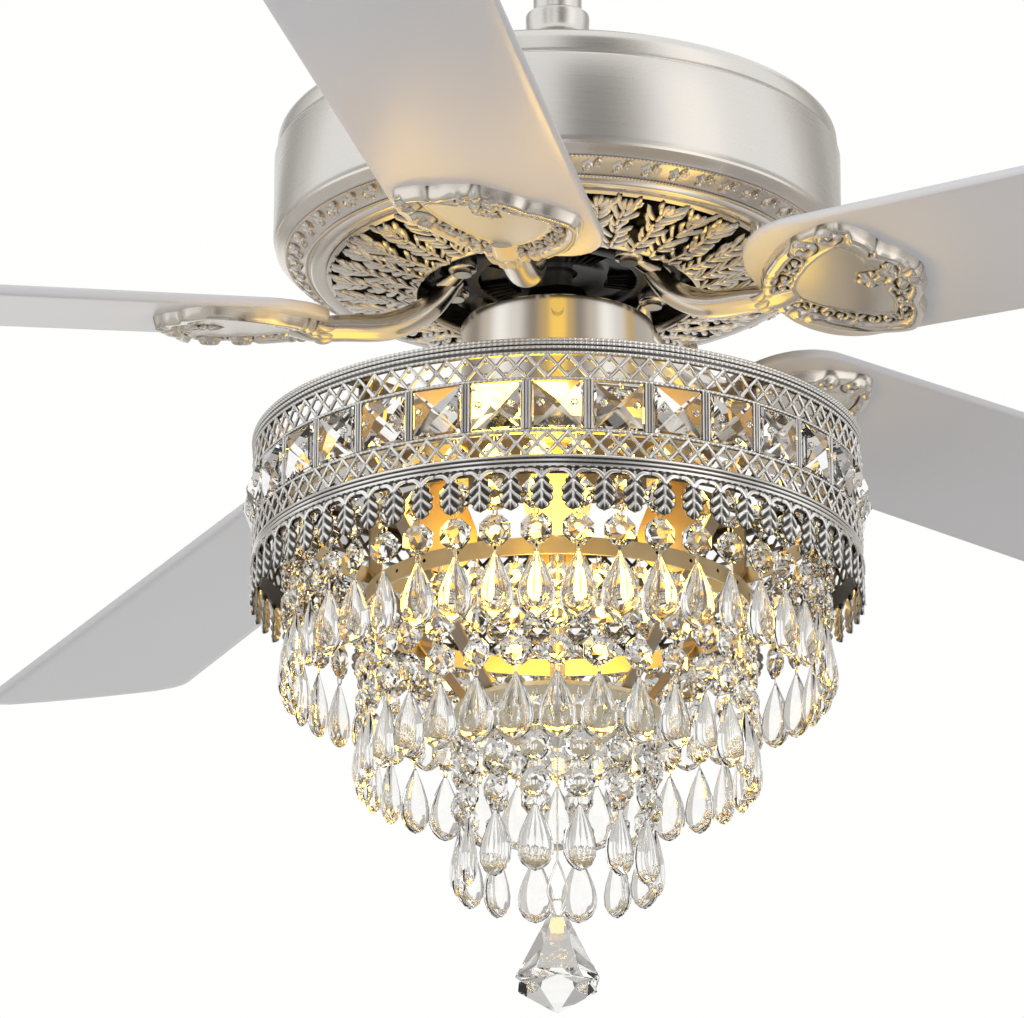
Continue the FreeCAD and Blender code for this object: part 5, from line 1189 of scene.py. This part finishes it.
class FanLooks(bpy.types.PropertyGroup):
    """Colours of the fan's finishes."""
    nickel: colour("Nickel", "Satin plate of the housing, rod and cup", (0.73, 0.71, 0.68))
    silver: colour("Silver", "Raised parts of the band and leaves", (0.92, 0.905, 0.88))
    # colour of the recess mark on silver: painted shade, in part the antique patina
    silver_recess: colour("Silver recess", "Dark recesses of the band and leaves", (0.07, 0.065, 0.058))
    champagne: colour("Champagne", "Raised parts of the grille and trim", (0.82, 0.765, 0.69))
    # colour of the recess mark on champagne and irons: painted shade
    champagne_recess: colour("Champagne recess", "Dark recesses of the grille, trim and irons", (0.05, 0.04, 0.03))
    iron: colour("Iron", "Raised parts of the blade irons", (0.78, 0.735, 0.675))
    strip: colour("Strip", "Ring strips and straps of the light kit", (0.8, 0.7, 0.5))
    blade: colour("Blade", "Satin lacquer of the blades", (0.675, 0.675, 0.71))
    crystal: colour("Crystal", "Cut glass", (1.0, 1.0, 0.99))
    lamp: colour("Lamp", "Warm light of the lamps", (1.0, 0.72, 0.26))
    lamp_strength: bpy.props.FloatProperty(name="Lamp strength", description="Glow of the frosted lamps", default=0.92, min=0.0)


class FanStage(bpy.types.PropertyGroup):
    """Light, floor and camera."""
    floor_level: length("Floor", "Height of the floor", -9.0)
    floor_lift: bpy.props.FloatProperty(
        name="Floor lift", description="Paleness added to the floor as the camera sees it", default=0.3, min=0.0, subtype="FACTOR")
    world_light: bpy.props.FloatProperty(
        name="Surroundings", description="Soft light from all round", default=0.6, min=0.0, subtype="FACTOR")
    key_power: bpy.props.FloatProperty(
        name="Key lamp", description="Power of the large soft lamp", default=36.0, min=0.0, unit="POWER")
    warm_power: bpy.props.FloatProperty(
        name="Warm lamp", description="Power of the light inside the shade", default=0.46, min=0.0, unit="POWER")
    lens: bpy.props.FloatProperty(
        name="Lens", description="Focal length in millimetres", default=224.28, min=1.0, unit="CAMERA")
    shift_x: bpy.props.FloatProperty(
        name="Shift", description="Sideways shift of the frame", default=-0.0444, subtype="FACTOR")


class FAN_OT_motor(bpy.types.Operator):
    """Build the housing, downrod, coupling bell and canopy"""
    bl_idname = "fan.motor"
    bl_label = "Motor housing and rod"

    def execute(self, context):
        build_motor()
        return {"FINISHED"}


class FAN_OT_trim(bpy.types.Operator):
    """Build the dished border with its wreath of flowers"""
    bl_idname = "fan.trim"
    bl_label = "Trim border"

    def execute(self, context):
        build_trim()
        return {"FINISHED"}


class FAN_OT_grille(bpy.types.Operator):
    """Build the pierced plate of fern fronds and its knurled screws"""
    bl_idname = "fan.grille"
    bl_label = "Grille"

    def execute(self, context):
        build_grille()
        return {"FINISHED"}


class FAN_OT_hub(bpy.types.Operator):
    """Build the black finned hub and the shaft boss"""
    bl_idname = "fan.hub"
    bl_label = "Hub"

    def execute(self, context):
        build_hub()
        return {"FINISHED"}


class FAN_OT_irons(bpy.types.Operator):
    """Build the five cast arms with their medallions"""
    bl_idname = "fan.irons"
    bl_label = "Blade irons"

    def execute(self, context):
        build_irons()
        return {"FINISHED"}


class FAN_OT_blades(bpy.types.Operator):
    """Build the five lacquered paddles"""
    bl_idname = "fan.blades"
    bl_label = "Blades"

    def execute(self, context):
        build_blades()
        return {"FINISHED"}


class FAN_OT_cup(bpy.types.Operator):
    """Build the plain cup under the hub"""
    bl_idname = "fan.cup"
    bl_label = "Switch cup"

    def execute(self, context):
        build_cup()
        return {"FINISHED"}


class FAN_OT_band(bpy.types.Operator):
    """Build the pierced gallery band and its square stones"""
    bl_idname = "fan.band"
    bl_label = "Band"

    def execute(self, context):
        build_band()
        return {"FINISHED"}


class FAN_OT_leaves(bpy.types.Operator):
    """Build the stamped leaves under the band"""
    bl_idname = "fan.leaves"
    bl_label = "Leaf fringe"

    def execute(self, context):
        build_leaves()
        return {"FINISHED"}


class FAN_OT_strands(bpy.types.Operator):
    """Build the beads, drops, wires and ring strips of the three tiers"""
    bl_idname = "fan.strands"
    bl_label = "Crystal strands"

    def execute(self, context):
        build_strands()
        return {"FINISHED"}


class FAN_OT_lamps(bpy.types.Operator):
    """Build the frosted globes inside the shade"""
    bl_idname = "fan.lamps"
    bl_label = "Lamps"

    def execute(self, context):
        build_lamps()
        return {"FINISHED"}


class FAN_OT_pendant(bpy.types.Operator):
    """Build the cut crystal on its wire hook"""
    bl_idname = "fan.pendant"
    bl_label = "Pendant"

    def execute(self, context):
        build_pendant()
        return {"FINISHED"}


class FAN_OT_nodes(bpy.types.Operator):
    """Give the pieces that keep their plain shape their finishes"""
    bl_idname = "fan.nodes"
    bl_label = "Plain pieces"

    def execute(self, context):
        dress_nodes()
        return {"FINISHED"}


class FAN_OT_stage(bpy.types.Operator):
    """Set up the floor, light and camera"""
    bl_idname = "fan.stage"
    bl_label = "Stage"

    def execute(self, context):
        build_stage()
        return {"FINISHED"}


OPERATORS = [
    FAN_OT_motor, FAN_OT_trim, FAN_OT_grille, FAN_OT_hub, FAN_OT_irons, FAN_OT_blades, FAN_OT_cup,
    FAN_OT_band, FAN_OT_leaves, FAN_OT_strands, FAN_OT_lamps, FAN_OT_pendant, FAN_OT_nodes,
    FAN_OT_stage,
]


class FAN_PT_panel(bpy.types.Panel):
    """Lists the fan's pieces, colours and stage."""
    bl_idname = "FAN_PT_panel"
    bl_label = "Chandelier fan"
    bl_space_type = "VIEW_3D"
    bl_region_type = "UI"
    bl_category = "Fan"

    def draw(self, context):
        for made in OPERATORS:
            self.layout.operator(made.bl_idname)
        for group in (context.scene.fan_sizes, context.scene.fan_looks, context.scene.fan_stage):
            for key in group.__annotations__:
                self.layout.prop(group, key)


CLASSES = [FanSizes, FanLooks, FanStage] + OPERATORS + [FAN_PT_panel]


def register():
    for made in CLASSES:
        bpy.utils.register_class(made)
    bpy.types.Scene.fan_sizes = bpy.props.PointerProperty(type=FanSizes)
    bpy.types.Scene.fan_looks = bpy.props.PointerProperty(type=FanLooks)
    bpy.types.Scene.fan_stage = bpy.props.PointerProperty(type=FanStage)


def unregister():
    del bpy.types.Scene.fan_stage
    del bpy.types.Scene.fan_looks
    del bpy.types.Scene.fan_sizes
    for made in reversed(CLASSES):
        bpy.utils.unregister_class(made)


def main():
    """Builds every piece in order."""
    register()
    for made in OPERATORS:
        getattr(bpy.ops.fan, made.bl_idname.split(".")[1])()


if __name__ == "__main__":
    main()
